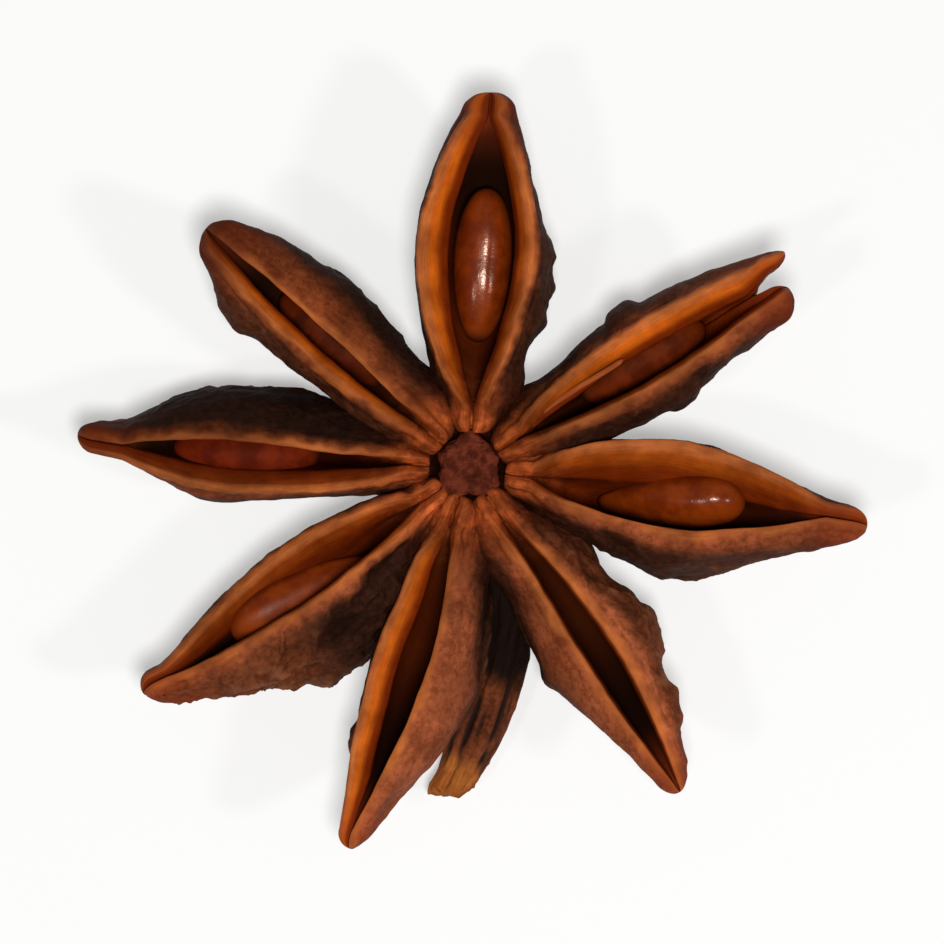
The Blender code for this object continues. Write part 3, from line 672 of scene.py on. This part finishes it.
class Sheet:
    """A node tree with short ways to add nodes and join them."""

    def __init__(self, tree):
        self.tree = tree

    def add(self, kind, **settings):
        node = self.tree.nodes.new(kind)
        for key, value in settings.items():
            setattr(node, key, value)
        return node

    def put(self, value, socket):
        """Link or set a socket; a colour may be given without its alpha."""
        if isinstance(value, bpy.types.NodeSocket):
            self.tree.links.new(value, socket)
        elif socket.type == "RGBA" and len(value) == 3:
            socket.default_value = (*value, 1.0)
        else:
            socket.default_value = value

    def fill(self, node, **values):
        """Put values into a node's sockets by name, with _ for a space."""
        for key, value in values.items():
            self.put(value, node.inputs[key.replace("_", " ")])
        return node.outputs

    def math(self, operation, first, second, third=0.0):
        node = self.add("ShaderNodeMath", operation=operation)
        for value, socket in zip((first, second, third), node.inputs):
            self.put(value, socket)
        return node.outputs[0]

    def product(self, first, second):
        return self.math("MULTIPLY", first, second)

    def line(self, value, slope, start):
        """value times slope, plus start."""
        return self.math("MULTIPLY_ADD", value, slope, start)

    def span(self, value, low, high, to_low=0.0, to_high=1.0):
        """Smoothly maps low..high to to_low..to_high."""
        node = self.add("ShaderNodeMapRange", interpolation_type="SMOOTHSTEP")
        self.fill(node, Value=value, From_Min=low, From_Max=high, To_Min=to_low, To_Max=to_high)
        return node.outputs["Result"]

    def mix(self, share, first, second):
        node = self.add("ShaderNodeMix", data_type="RGBA")
        self.put(share, node.inputs[0])
        self.put(first, node.inputs[6])
        self.put(second, node.inputs[7])
        return node.outputs[2]

    def darken(self, colour, factor):
        node = self.add("ShaderNodeVectorMath", operation="SCALE")
        self.put(colour, node.inputs[0])
        self.put(factor, node.inputs["Scale"])
        return node.outputs[0]

    def noise(self, place, scale, detail=3.0, roughness=0.55, distortion=0.0):
        node = self.add("ShaderNodeTexNoise")
        self.fill(node, Vector=place, Scale=scale, Detail=detail, Roughness=roughness,
                  Distortion=distortion)
        return node.outputs["Fac"]

    def stretch(self, place, factors):
        node = self.add("ShaderNodeVectorMath", operation="MULTIPLY")
        self.put(place, node.inputs[0])
        self.put(factors, node.inputs[1])
        return node.outputs[0]

    def parts(self, vector):
        node = self.add("ShaderNodeSeparateXYZ")
        self.put(vector, node.inputs[0])
        return node.outputs

    def value(self, name):
        node = self.add("ShaderNodeAttribute", attribute_type="GEOMETRY", attribute_name=name)
        return node.outputs["Fac"]

    def vector(self, name):
        node = self.add("ShaderNodeAttribute", attribute_type="GEOMETRY", attribute_name=name)
        return node.outputs["Vector"]

    def spot(self):
        """Place in space, in millimetres."""
        place = self.add("ShaderNodeTexCoord").outputs["Object"]
        return self.stretch(place, (1.0 / MM, 1.0 / MM, 1.0 / MM))


def make_group(name, inputs, outputs):
    """Empty shader group with named sockets: its sheet, its inputs and its outputs."""
    tree = bpy.data.node_groups.new(name, "ShaderNodeTree")
    for way, sockets in (("INPUT", inputs), ("OUTPUT", outputs)):
        for socket, kind in sockets.items():
            tree.interface.new_socket(socket, in_out=way, socket_type="NodeSocket" + kind)
    sheet = Sheet(tree)
    return sheet, sheet.add("NodeGroupInput").outputs, sheet.add("NodeGroupOutput").inputs


def fibre_group():
    """Fine lengthwise fibre with pores: a height and a shade, both 0 to 1."""
    sheet, given, result = make_group("woody_fibre", {"Place": "Vector"},
                                      {"Height": "Float", "Shade": "Float"})
    long_fibre = sheet.noise(sheet.stretch(given["Place"], (0.55, 5.0, 1.0)), 1.6, 4.0)
    blotch = sheet.noise(given["Place"], 0.9, 3.0)
    specks = sheet.noise(given["Place"], 7.0, 2.0, 0.6)
    height = sheet.line(long_fibre, 0.6, sheet.product(specks, 0.4))
    shade = sheet.line(blotch, 0.6, sheet.product(long_fibre, 0.4))
    sheet.put(height, result["Height"])
    sheet.put(sheet.span(shade, 0.3, 0.7), result["Shade"])
    return sheet.tree


def skin_group():
    """Dry wrinkled skin: a fine height, blotches and pale worn spots, all 0 to 1."""
    sheet, given, result = make_group("dry_skin", {"Place": "Vector", "Ridge": "Float"},
                                      {"Height": "Float", "Blotch": "Float", "Worn": "Float"})
    pores = sheet.noise(given["Place"], 3.2, 3.0, 0.55, 0.4)
    flakes = sheet.noise(given["Place"], 1.3, 2.0, 0.5, 0.8)
    height = sheet.line(pores, 0.5, sheet.product(flakes, 0.5))
    patches = sheet.noise(given["Place"], 0.6, 3.0, 0.55, 0.5)
    specks = sheet.noise(given["Place"], 3.2, 3.0, 0.6, 0.3)
    blotch = sheet.line(patches, 0.42, sheet.product(specks, 0.58))
    rubbed = sheet.span(sheet.noise(given["Place"], 1.4, 3.0), 0.42, 0.6)
    worn = sheet.product(sheet.span(given["Ridge"], 0.55, 0.95), rubbed)
    sheet.put(height, result["Height"])
    sheet.put(sheet.span(blotch, 0.34, 0.66), result["Blotch"])
    sheet.put(worn, result["Worn"])
    return sheet.tree


def use_group(sheet, tree, **given):
    return sheet.fill(sheet.add("ShaderNodeGroup", node_tree=tree), **given)


def start_material(name, **constants):
    """New material, its sheet and its shader with constants set on the shader's own sockets."""
    material = bpy.data.materials.new(name)
    material.use_nodes = True
    sheet = Sheet(material.node_tree)
    shader = material.node_tree.nodes["Principled BSDF"]
    sheet.fill(shader, **constants)
    return material, sheet, shader


def add_bump(sheet, shader, height, distance):
    bump = sheet.add("ShaderNodeBump")
    sheet.fill(bump, Distance=distance * MM, Strength=1.0, Height=height)
    sheet.put(bump.outputs["Normal"], shader.inputs["Normal"])


def hollow_colour(sheet, tones, glow, weather):
    """From the tan rim over the orange split face and the lining down into the hollow, darkened
    with painted shade.
    """
    face, deep, painted_hollow_shade = [sheet.value(name) for name in ("face", "deep", "painted_hollow_shade")]
    rim = sheet.darken(tones["rim"], weather)
    split = sheet.darken(sheet.mix(glow, tones["dull_face"], tones["bright_face"]), weather)
    # Painted shade on the lining: darker where the hollow is shaded, and on sides with a dull split
    # face
    lining = sheet.darken(tones["lining"], sheet.line(painted_hollow_shade, -0.78, 1.0))
    lining = sheet.darken(lining, sheet.line(glow, 0.5, 0.5))
    # Painted shade at the bottom of the hollow, darker out towards the tip
    bottom = sheet.mix(sheet.value("outer"), (0.050, 0.0080, 0.0014), (0.012, 0.0032, 0.0012))
    bottom = sheet.darken(bottom, sheet.line(painted_hollow_shade, -0.6, 1.35))
    colour = sheet.mix(sheet.span(face, 0.0, 0.3), rim, split)
    colour = sheet.mix(sheet.span(face, 0.35, 0.9), colour, lining)
    return sheet.mix(sheet.span(deep, 0.05, 0.75), colour, bottom)


def flank_colour(sheet, tones, tone, weather, pale_spots):
    """Smooth brown skin beside the rims, with pale spots."""
    colour = sheet.mix(tone, tones["dark_flank"], tones["pale_flank"])
    colour = sheet.mix(sheet.product(pale_spots, 0.35), colour, (0.40, 0.150, 0.070))
    return sheet.darken(colour, weather)


def wall_colour(sheet, tones, tone, worn):
    """Dark wrinkled skin on the back, its near black partly painted shade, browner along the keel
    and where it is worn.
    """
    keel = sheet.mix(worn, tones["keel"], (0.250, 0.105, 0.052))
    colour = sheet.mix(tone, tones["black_wall_and_shade"], tones["brown_wall"])
    colour = sheet.mix(sheet.value("under"), colour, keel)
    return sheet.mix(sheet.product(worn, tone), colour, (0.22, 0.075, 0.034))


def root_colour(sheet, tones, spot, pale_spots):
    """Reddish uneven wood where the cases meet, dark in the valleys between them."""
    colour = sheet.mix(sheet.product(pale_spots, 0.55), tones["root"], (0.36, 0.105, 0.030))
    uneven = sheet.span(sheet.noise(spot, 1.5, 2.0), 0.36, 0.64, 0.70, 1.45)
    colour = sheet.darken(colour, uneven)
    colour = sheet.darken(colour, sheet.product(sheet.value("tan"), sheet.value("finger")))
    return sheet.mix(sheet.value("skin"), colour, tones["root_valley"])


def case_material(fibre, skin):
    """Orange lining, tan rims and dark wrinkled skin."""
    material, sheet, shader = start_material("seed_case", Specular_IOR_Level=0.05,
                                             Specular_Tint=(1.0, 0.62, 0.40))
    spot, ridge, outside = sheet.spot(), sheet.value("ridge"), sheet.value("flank")
    fibres = use_group(sheet, fibre, Place=sheet.vector("grain"))
    crust = use_group(sheet, skin, Place=spot, Ridge=ridge)
    patterns = {"fibre": fibres["Shade"], "crust": crust["Blotch"]}
    tones = {name: sheet.mix(patterns[pattern], dark, light)
             for name, (pattern, dark, light) in CASE_TONES.items()}
    glow, flank_tone, wall_tone = sheet.parts(sheet.vector("tones"))
    patchy = sheet.span(sheet.noise(spot, 0.45, 3.0), 0.3, 0.7, 0.74, 1.25)
    weather = sheet.product(patchy, sheet.value("tan"))
    pale_spots = sheet.span(sheet.noise(spot, 4.6, 4.0, 0.7), 0.58, 0.74)

    colour = hollow_colour(sheet, tones, glow, weather)
    flank = flank_colour(sheet, tones, flank_tone, weather, pale_spots)
    colour = sheet.mix(outside, colour, flank)
    wall = wall_colour(sheet, tones, wall_tone, crust["Worn"])
    colour = sheet.mix(sheet.value("skin"), colour, wall)
    # Painted shade in the wrinkle valleys of the skin
    painted_crease_shade = sheet.product(sheet.span(ridge, 0.42, 0.1), sheet.value("skin"))
    colour = sheet.mix(sheet.product(painted_crease_shade, 0.6), colour, (0.010, 0.0034, 0.0020))
    root = root_colour(sheet, tones, spot, pale_spots)
    colour = sheet.mix(sheet.product(sheet.value("root"), 0.85), colour, root)
    ripe = sheet.product(sheet.value("ripe"), 0.42)
    colour = sheet.mix(ripe, colour, (0.19, 0.024, 0.006))
    colour = sheet.mix(sheet.value("dusk"), colour, (0.022, 0.0055, 0.0028))
    rough = sheet.line(sheet.value("deep"), 0.4, sheet.line(outside, 0.2, 0.40))
    rough = sheet.line(crust["Height"], 0.12, rough)
    sheet.fill(shader, Base_Color=colour, Roughness=rough)
    height = sheet.line(fibres["Height"], 0.14, sheet.product(crust["Height"], outside))
    add_bump(sheet, shader, height, 0.12)
    return material


def seed_material(name, gloss, red):
    """Hard smooth seed coat, redder and darker with painted shade on seeds that lie deep, lighter
    with painted light on lit ones.
    """
    material, sheet, shader = start_material(name, Specular_IOR_Level=0.5 * gloss,
                                             Specular_Tint=(1.0, 0.75, 0.62))
    place, painted_light = sheet.vector("grain"), sheet.value("painted_light")
    mottle = sheet.span(sheet.noise(place, 0.8, 3.0), 0.35, 0.65)
    less = 1.0 - red
    # Copies of the coat in painted shade and in painted light, mixed by how much painted light the
    # seed gets
    shaded_coat = sheet.mix(mottle, (0.042, 0.0045 * less, 0.0006), (0.098, 0.0115 * less, 0.0011))
    light = sheet.mix(mottle, (0.128, 0.0150 * less, 0.0010), (0.212, 0.0305 * less, 0.0020))
    colour = sheet.mix(painted_light, shaded_coat, light)
    colour = sheet.mix(sheet.value("scar"), colour, (0.03, 0.006, 0.002))
    polish = 0.40 * gloss
    rough = sheet.span(sheet.noise(place, 2.5, 2.0), 0.2, 0.8, 0.62 - polish, 0.70 - polish)
    sheet.fill(shader, Base_Color=colour, Roughness=rough)
    add_bump(sheet, shader, sheet.noise(place, 6.0, 2.0), 0.01)
    return material


def strip_material(fibre):
    """Dry thin lining, paler than in the cases."""
    material, sheet, shader = start_material("loose_lining", Specular_IOR_Level=0.06)
    fibres = use_group(sheet, fibre, Place=sheet.vector("grain"))
    colour = sheet.mix(fibres["Shade"], (0.20, 0.039, 0.008), (0.32, 0.072, 0.017))
    sheet.fill(shader, Base_Color=colour, Roughness=sheet.line(fibres["Height"], 0.2, 0.5))
    add_bump(sheet, shader, fibres["Height"], 0.03)
    return material


def column_material(fibre):
    """Dull red-brown wood, darkened with painted shade in the groove round it."""
    material, sheet, shader = start_material("middle_column", Specular_IOR_Level=0.04,
                                             Specular_Tint=(1.0, 0.6, 0.5))
    spot = sheet.spot()
    fibres = use_group(sheet, fibre, Place=spot)
    mottle = sheet.span(sheet.noise(spot, 2.2, 3.0), 0.35, 0.65)
    colour = sheet.mix(mottle, (0.052, 0.0092, 0.0040), (0.125, 0.0235, 0.0110))
    # Painted shade in the groove below the column's top
    colour = sheet.mix(sheet.value("low"), colour, (0.014, 0.0026, 0.0010))
    sheet.fill(shader, Base_Color=colour, Roughness=sheet.line(fibres["Height"], 0.2, 0.5))
    add_bump(sheet, shader, fibres["Height"], 0.12)
    return material


def stalk_material(fibre, skin):
    """Brown bark with pale torn wood at the end, painted shade between its ribs and a painted
    shadow under the star.
    """
    material, sheet, shader = start_material("stalk_bark", Specular_IOR_Level=0.05)
    place, ridge = sheet.vector("grain"), sheet.value("ridge")
    fibres = use_group(sheet, fibre, Place=place)
    crust = use_group(sheet, skin, Place=place, Ridge=ridge)
    bark = sheet.mix(crust["Blotch"], (0.065, 0.0150, 0.0050), (0.170, 0.0420, 0.0130))
    # Painted shade in the valleys between the ribs
    bark = sheet.mix(sheet.span(ridge, 0.45, 0.1), bark, (0.015, 0.006, 0.004))
    torn = sheet.mix(fibres["Shade"], (0.19, 0.044, 0.006), (0.46, 0.150, 0.030))
    colour = sheet.mix(sheet.value("torn"), bark, torn)
    # Painted shadow where the stalk lies under the star
    colour = sheet.mix(sheet.value("painted_stalk_shadow"), colour, (0.008, 0.0030, 0.0016))
    sheet.fill(shader, Base_Color=colour, Roughness=sheet.line(fibres["Height"], 0.2, 0.6))
    height = sheet.line(crust["Height"], 0.6, fibres["Height"])
    add_bump(sheet, shader, height, 0.12)
    return material


# ---- pieces ------------------------------------------------------------------------------------

def spread_stations(case):
    """Stations closer together at the two ends, and closest where these are rounded."""
    even = np.linspace(0.0, 1.0, STATIONS)
    share = blend(even, 0.5 - 0.5 * np.cos(math.pi * even), 0.35)
    outs = blend(case.root, case.length, share)
    near_tip = case.length - END_ROUNDING * (1.0 - np.sin(np.linspace(0.0, 0.5 * math.pi, 16)))
    near_root = case.root + ROOT_ROUNDING * (1.0 - np.cos(np.linspace(0.0, 0.5 * math.pi, 12)))
    body = outs[(outs > near_root[-1]) & (outs < near_tip[0])]
    return np.concatenate((near_root, body, near_tip))


def make_case(name, case, material):
    """A whole seed case as one piece."""
    points, values = case_surface(case, spread_stations(case))
    make_piece("case_" + name, turn_to(case.azimuth, points), values, material, ("pod",))


def make_forked_case(name, case, material):
    """The two sides of a case as pieces of their own, one after the other, parted at the tip."""
    for sign, word, (length, aside, widen) in zip((1.0, -1.0), ("left", "right"), FORK):
        half = replace(case, length=length)
        points, values = forked_surface(half, spread_stations(half), sign, aside, widen)
        make_piece(f"case_{name}_{word}", turn_to(case.azimuth, points), values, material,
                   ("pod",))


def ring_turns(sides):
    """Angles of the corners of a ring."""
    return np.linspace(0.0, 2.0 * math.pi, sides, endpoint=False)


def make_strip(material):
    """Loose strip of lining that stands off the wall of case b."""
    case = CASES["b"]
    rings, sides = STRIP_GRID
    share = np.linspace(0.0, 1.0, rings)
    turns = ring_turns(sides)
    out = blend(*STRIP_OUT, share)
    across = blend(*STRIP_ACROSS, share) + 0.06 * np.sin(5.0 * share)
    up = LIP_HEIGHT + blend(*STRIP_UP, share ** 0.6)
    ends = np.sqrt(np.clip(1.0 - ease(share, 0.9, 1.0) ** 2, 0.002, 1.0))
    ends = ends * blend(0.5, 1.0, ease(share, 0.0, 0.3))
    wide, thick = [half * ends[:, None] for half in STRIP_HALF]
    points = np.stack((out[:, None] * np.ones(sides), across[:, None] + wide * np.cos(turns),
                       up[:, None] + thick * np.sin(turns)), axis=-1)
    values = dict(grain=points * (1.0, 3.0, 1.0))
    make_piece("lining_strip", turn_to(case.azimuth, points), values, material, ("pod",))


def main_axes(node):
    """Middle, directions and half sizes of a CAD node's mesh, longest first, in millimetres."""
    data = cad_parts[node].data
    points = np.array([vertex.co for vertex in data.vertices]) / MM
    middle = points.mean(axis=0)
    axes = np.linalg.svd(points - middle, full_matrices=False)[2]
    along = axes[0] * np.sign(axes[0] @ (*middle[:2], 0.0))
    up = axes[1] * np.sign(axes[1][2])
    across = np.cross(up, along)
    turn = np.stack((along, across, up), axis=1)
    reach = (points - middle) @ turn
    middle = middle + turn @ (0.5 * (reach.min(axis=0) + reach.max(axis=0)))
    return middle, (along, across, up), 0.5 * np.ptp(reach, axis=0)


def make_seed(node, material):
    """Flattened egg with a blunt outer end and a small scar at the inner one."""
    name = node[-1]
    middle, (along, across, up), half = main_axes(node)
    nudge = np.array(SEED_NUDGE.get(name, (0.0, 0.0, 0.0)))
    middle = middle + turn_to(CASES[name].azimuth, nudge) - (*STAR_MIDDLE, 0.0)
    tilt = math.radians(SEED_TILT.get(name, 0.0))
    along, up = (along * math.cos(tilt) + up * math.sin(tilt),
                 up * math.cos(tilt) - along * math.sin(tilt))
    rings, sides = SEED_GRID
    turns = ring_turns(sides)
    angles = np.linspace(0.015, math.pi - 0.015, rings)
    reach = -np.cos(angles)
    swell = np.sin(angles) ** 0.92 * (1.0 + SEED_TAPER.get(name, 0.05) * (reach - 0.4))
    x = half[0] * reach[:, None] * np.ones(sides)
    y = half[1] * swell[:, None] * np.cos(turns)
    z = half[2] * swell[:, None] * np.sin(turns)
    local = np.stack((x, y, z), axis=-1)
    seat = local + middle
    edge = np.exp(-((turns - 0.5 * math.pi) / 0.22) ** 2)[None, :] * np.sin(angles)[:, None]
    scar = np.exp(-((x + half[0]) / 0.35) ** 2)
    crest = np.exp(-((x - SEED_CREST.get(name, 0.0)) / 1.1) ** 2) * np.maximum(np.sin(turns), 0.0)
    height = 0.05 * NOISE.at(seat, 2.2) + 0.008 * NOISE.at(seat, 0.9) + 0.03 * edge - 0.10 * scar
    height = height + 0.10 * crest
    local = local + outward(local) * height[..., None]
    points = middle + local @ np.stack((along, across, up))
    # Each seed carries how much painted light its coat gets
    values = dict(grain=local, scar=scar, painted_light=SEED_PAINTED_LIGHT[name] * np.ones_like(x))
    make_piece(node, points, values, material, (node,))


def make_column(material):
    """Uneven many-sided column in the middle, with its top, and the core below the groove."""
    rings, sides = COLUMN_GRID
    turns = ring_turns(sides)
    directions, distances = np.array(COLUMN_CORNERS).T
    shape = np.interp(np.degrees(turns), directions, distances, period=360.0) / COLUMN_RADIUS
    top = LIP_HEIGHT - COLUMN_DROP
    groove = LIP_HEIGHT - GROOVE_DROP
    foot = LIP_HEIGHT - CORE_DEPTH
    profile = [(1.5, foot, 0.0), (2.0, foot + 0.7, 0.0), (2.35, foot + 1.9, 0.0),
               (2.35, groove - 0.9, 0.0), (2.2, groove - 0.2, 0.0), (1.75, groove - 0.2, 0.5),
               (1.45, groove + 0.1, 1.0), (1.43, top - 0.25, 1.0), (1.36, top - 0.07, 1.0),
               (1.18, top + 0.04, 1.0), (0.7, top + 0.03, 1.0), (0.3, top - 0.03, 1.0),
               (0.02, top - 0.05, 1.0)]
    steps = np.linspace(0.0, len(profile) - 1.0, rings)
    places = np.arange(len(profile))
    radius, height, share = [np.interp(steps, places, values) for values in zip(*profile)]
    for values in (radius, height):
        for _ in range(6):
            values[1:-1] = 0.25 * values[:-2] + 0.5 * values[1:-1] + 0.25 * values[2:]
    radii = radius[:, None] * blend(1.0, shape[None, :], share[:, None])
    up = height[:, None] * np.ones(sides)
    points = np.stack((radii * np.cos(turns), radii * np.sin(turns), up), axis=-1)
    bumps = (0.09 * NOISE.at(points, 0.5) + 0.05 * NOISE.at(points, 0.22)
             + 0.10 * NOISE.at(points, 1.0))
    points = points + outward(points) * (bumps * share[:, None])[..., None]
    # How much painted shade the groove below the top gets
    low = 1.0 - ease(points[..., 2], top - 0.55, top - 0.12)
    points = points + (*STAR_MIDDLE, 0.0)
    make_piece("middle_column", points, dict(low=low), material, ("pod",))


def stalk_line(share):
    """Middle line of the stalk, and at each place its directions ahead, across and up."""
    line = np.stack(cubic_weights(share), axis=1) @ np.array(STALK_HANDLES)
    ahead = np.gradient(line, axis=0)
    ahead /= np.linalg.norm(ahead, axis=1)[:, None]
    across = np.cross(ahead, (0.0, 0.0, 1.0))
    across /= np.linalg.norm(across, axis=1)[:, None]
    return line, ahead, across, np.cross(across, ahead)


def make_stalk(material):
    """Bent ridged stalk from under the star out between two cases, torn off at its end."""
    rings, sides = STALK_GRID
    share = np.linspace(0.0, 1.0, rings)
    turns = ring_turns(sides)
    line, ahead, across, up = stalk_line(share)
    way = np.linalg.norm(np.diff(line, axis=0, prepend=line[:1]), axis=1).cumsum()[:, None]
    over, beside = np.sin(turns), np.cos(turns)
    seat = np.stack(np.broadcast_arrays(way, 1.2 * beside, 1.2 * over), axis=-1)
    ribs = (0.06 * np.cos(6.0 * turns + 2.0 * share[:, None])
            + 0.05 * np.cos(11.0 * turns - 3.0 * share[:, None]))
    crumple = wrinkle(seat * (0.45, 1.0, 1.0), 0.8)
    closing = np.sqrt(np.clip(1.0 - ease(share, 0.965, 1.0) ** 3, 0.0, 1.0))
    closing[-1] = 0.02
    radius = blend(STALK_RADIUS, STALK_END_RADIUS, ease(share, 0.78, 1.0))
    radii = (radius[:, None] + ribs + 0.16 * crumple) * closing[:, None]
    points = (line[:, None] + (radii * beside)[..., None] * across[:, None]
              + (radii * over)[..., None] * up[:, None])
    torn = ease(share, 0.955, 1.0)[:, None]
    end_seat = 3.0 * np.stack((radii * beside, radii * over, np.zeros_like(radii)), axis=-1)
    teeth = 0.55 * torn * NOISE.at(end_seat, 1.1)
    slant = STALK_CUT * radii * beside * ease(share, 0.88, 1.0)[:, None]
    points = points + (teeth + slant)[..., None] * ahead[:, None]
    points = points + (*STAR_MIDDLE, 0.0)
    ridge = np.clip(0.5 + 2.5 * ribs + 0.4 * crumple, 0.0, 1.0)
    light = ease(way + 0.7 * NOISE.at(seat, 1.2), way[-1] - 2.4, way[-1] - 0.9)
    # Painted shadow of the star on the stalk, fading out along it
    painted_stalk_shadow = 1.0 - ease(way + 0.7 * NOISE.at(seat, 1.5), *STALK_SHADOW_FADE)
    values = dict(grain=seat, ridge=ridge, torn=np.maximum(torn, light), painted_stalk_shadow=painted_stalk_shadow)
    make_piece("stalk", points, values, material, ("pod",))


# ---- room --------------------------------------------------------------------------------------

def make_floor():
    data = bpy.data.meshes.new("floor")
    half = 0.6
    corners = [(-half, -half, 0), (half, -half, 0), (half, half, 0), (-half, half, 0)]
    data.from_pydata(corners, [], [(0, 1, 2, 3)])
    material = start_material("pale_floor", Base_Color=(0.50, 0.50, 0.495), Roughness=0.9,
                              Specular_IOR_Level=0.1, Emission_Color=(1.0, 1.0, 0.99),
                              Emission_Strength=0.40)[0]
    data.materials.append(material)
    floor = bpy.data.objects.new("floor", data)
    bpy.context.scene.collection.objects.link(floor)


def aim(item, target):
    item.rotation_euler = (Vector(target) - item.location).to_track_quat("-Z", "Y").to_euler()


def make_lights():
    for name, place, size, power in (("overhead", (0.02, -0.06, 0.45), 0.10, 1.75),
                                     ("from_right", (0.32, -0.10, 0.33), 0.06, 0.35),
                                     ("from_left", (-0.22, -0.16, 0.42), 0.06, 0.25)):
        data = bpy.data.lights.new(name, "AREA")
        data.shape = "DISK"
        data.size = size
        data.energy = power
        light = bpy.data.objects.new(name, data)
        light.location = place
        bpy.context.scene.collection.objects.link(light)
        aim(light, (0.0, 0.0, 0.0))
    world = bpy.data.worlds.new("studio")
    world.use_nodes = True
    background = world.node_tree.nodes["Background"]
    background.inputs["Color"].default_value = (1.0, 1.0, 1.0, 1.0)
    background.inputs["Strength"].default_value = 0.12
    bpy.context.scene.world = world
    bpy.context.scene.view_settings.view_transform = "Standard"


def make_camera():
    data = bpy.data.cameras.new("camera")
    data.sensor_width = 36.0
    data.lens = data.sensor_width * (CAMERA_HEIGHT - LIP_HEIGHT) / VIEW_WIDTH
    camera = bpy.data.objects.new("camera", data)
    camera.location = (0.0, 0.0, CAMERA_HEIGHT * MM)
    bpy.context.scene.collection.objects.link(camera)
    bpy.context.scene.camera = camera


def main():
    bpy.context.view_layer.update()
    fibre, skin = fibre_group(), skin_group()
    casing = case_material(fibre, skin)
    for name, case in CASES.items():
        if name == "b":
            make_forked_case(name, case, casing)
        else:
            make_case(name, case, casing)
    make_strip(strip_material(fibre))
    make_column(column_material(fibre))
    make_stalk(stalk_material(fibre, skin))
    coats = {name: seed_material(name + "_seed_coat", *finish) for name, finish in COATS.items()}
    for node in sorted(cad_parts):
        if node.startswith("seed_"):
            make_seed(node, coats[SEED_COATS[node[-1]]])
    make_floor()
    make_lights()
    make_camera()


main()
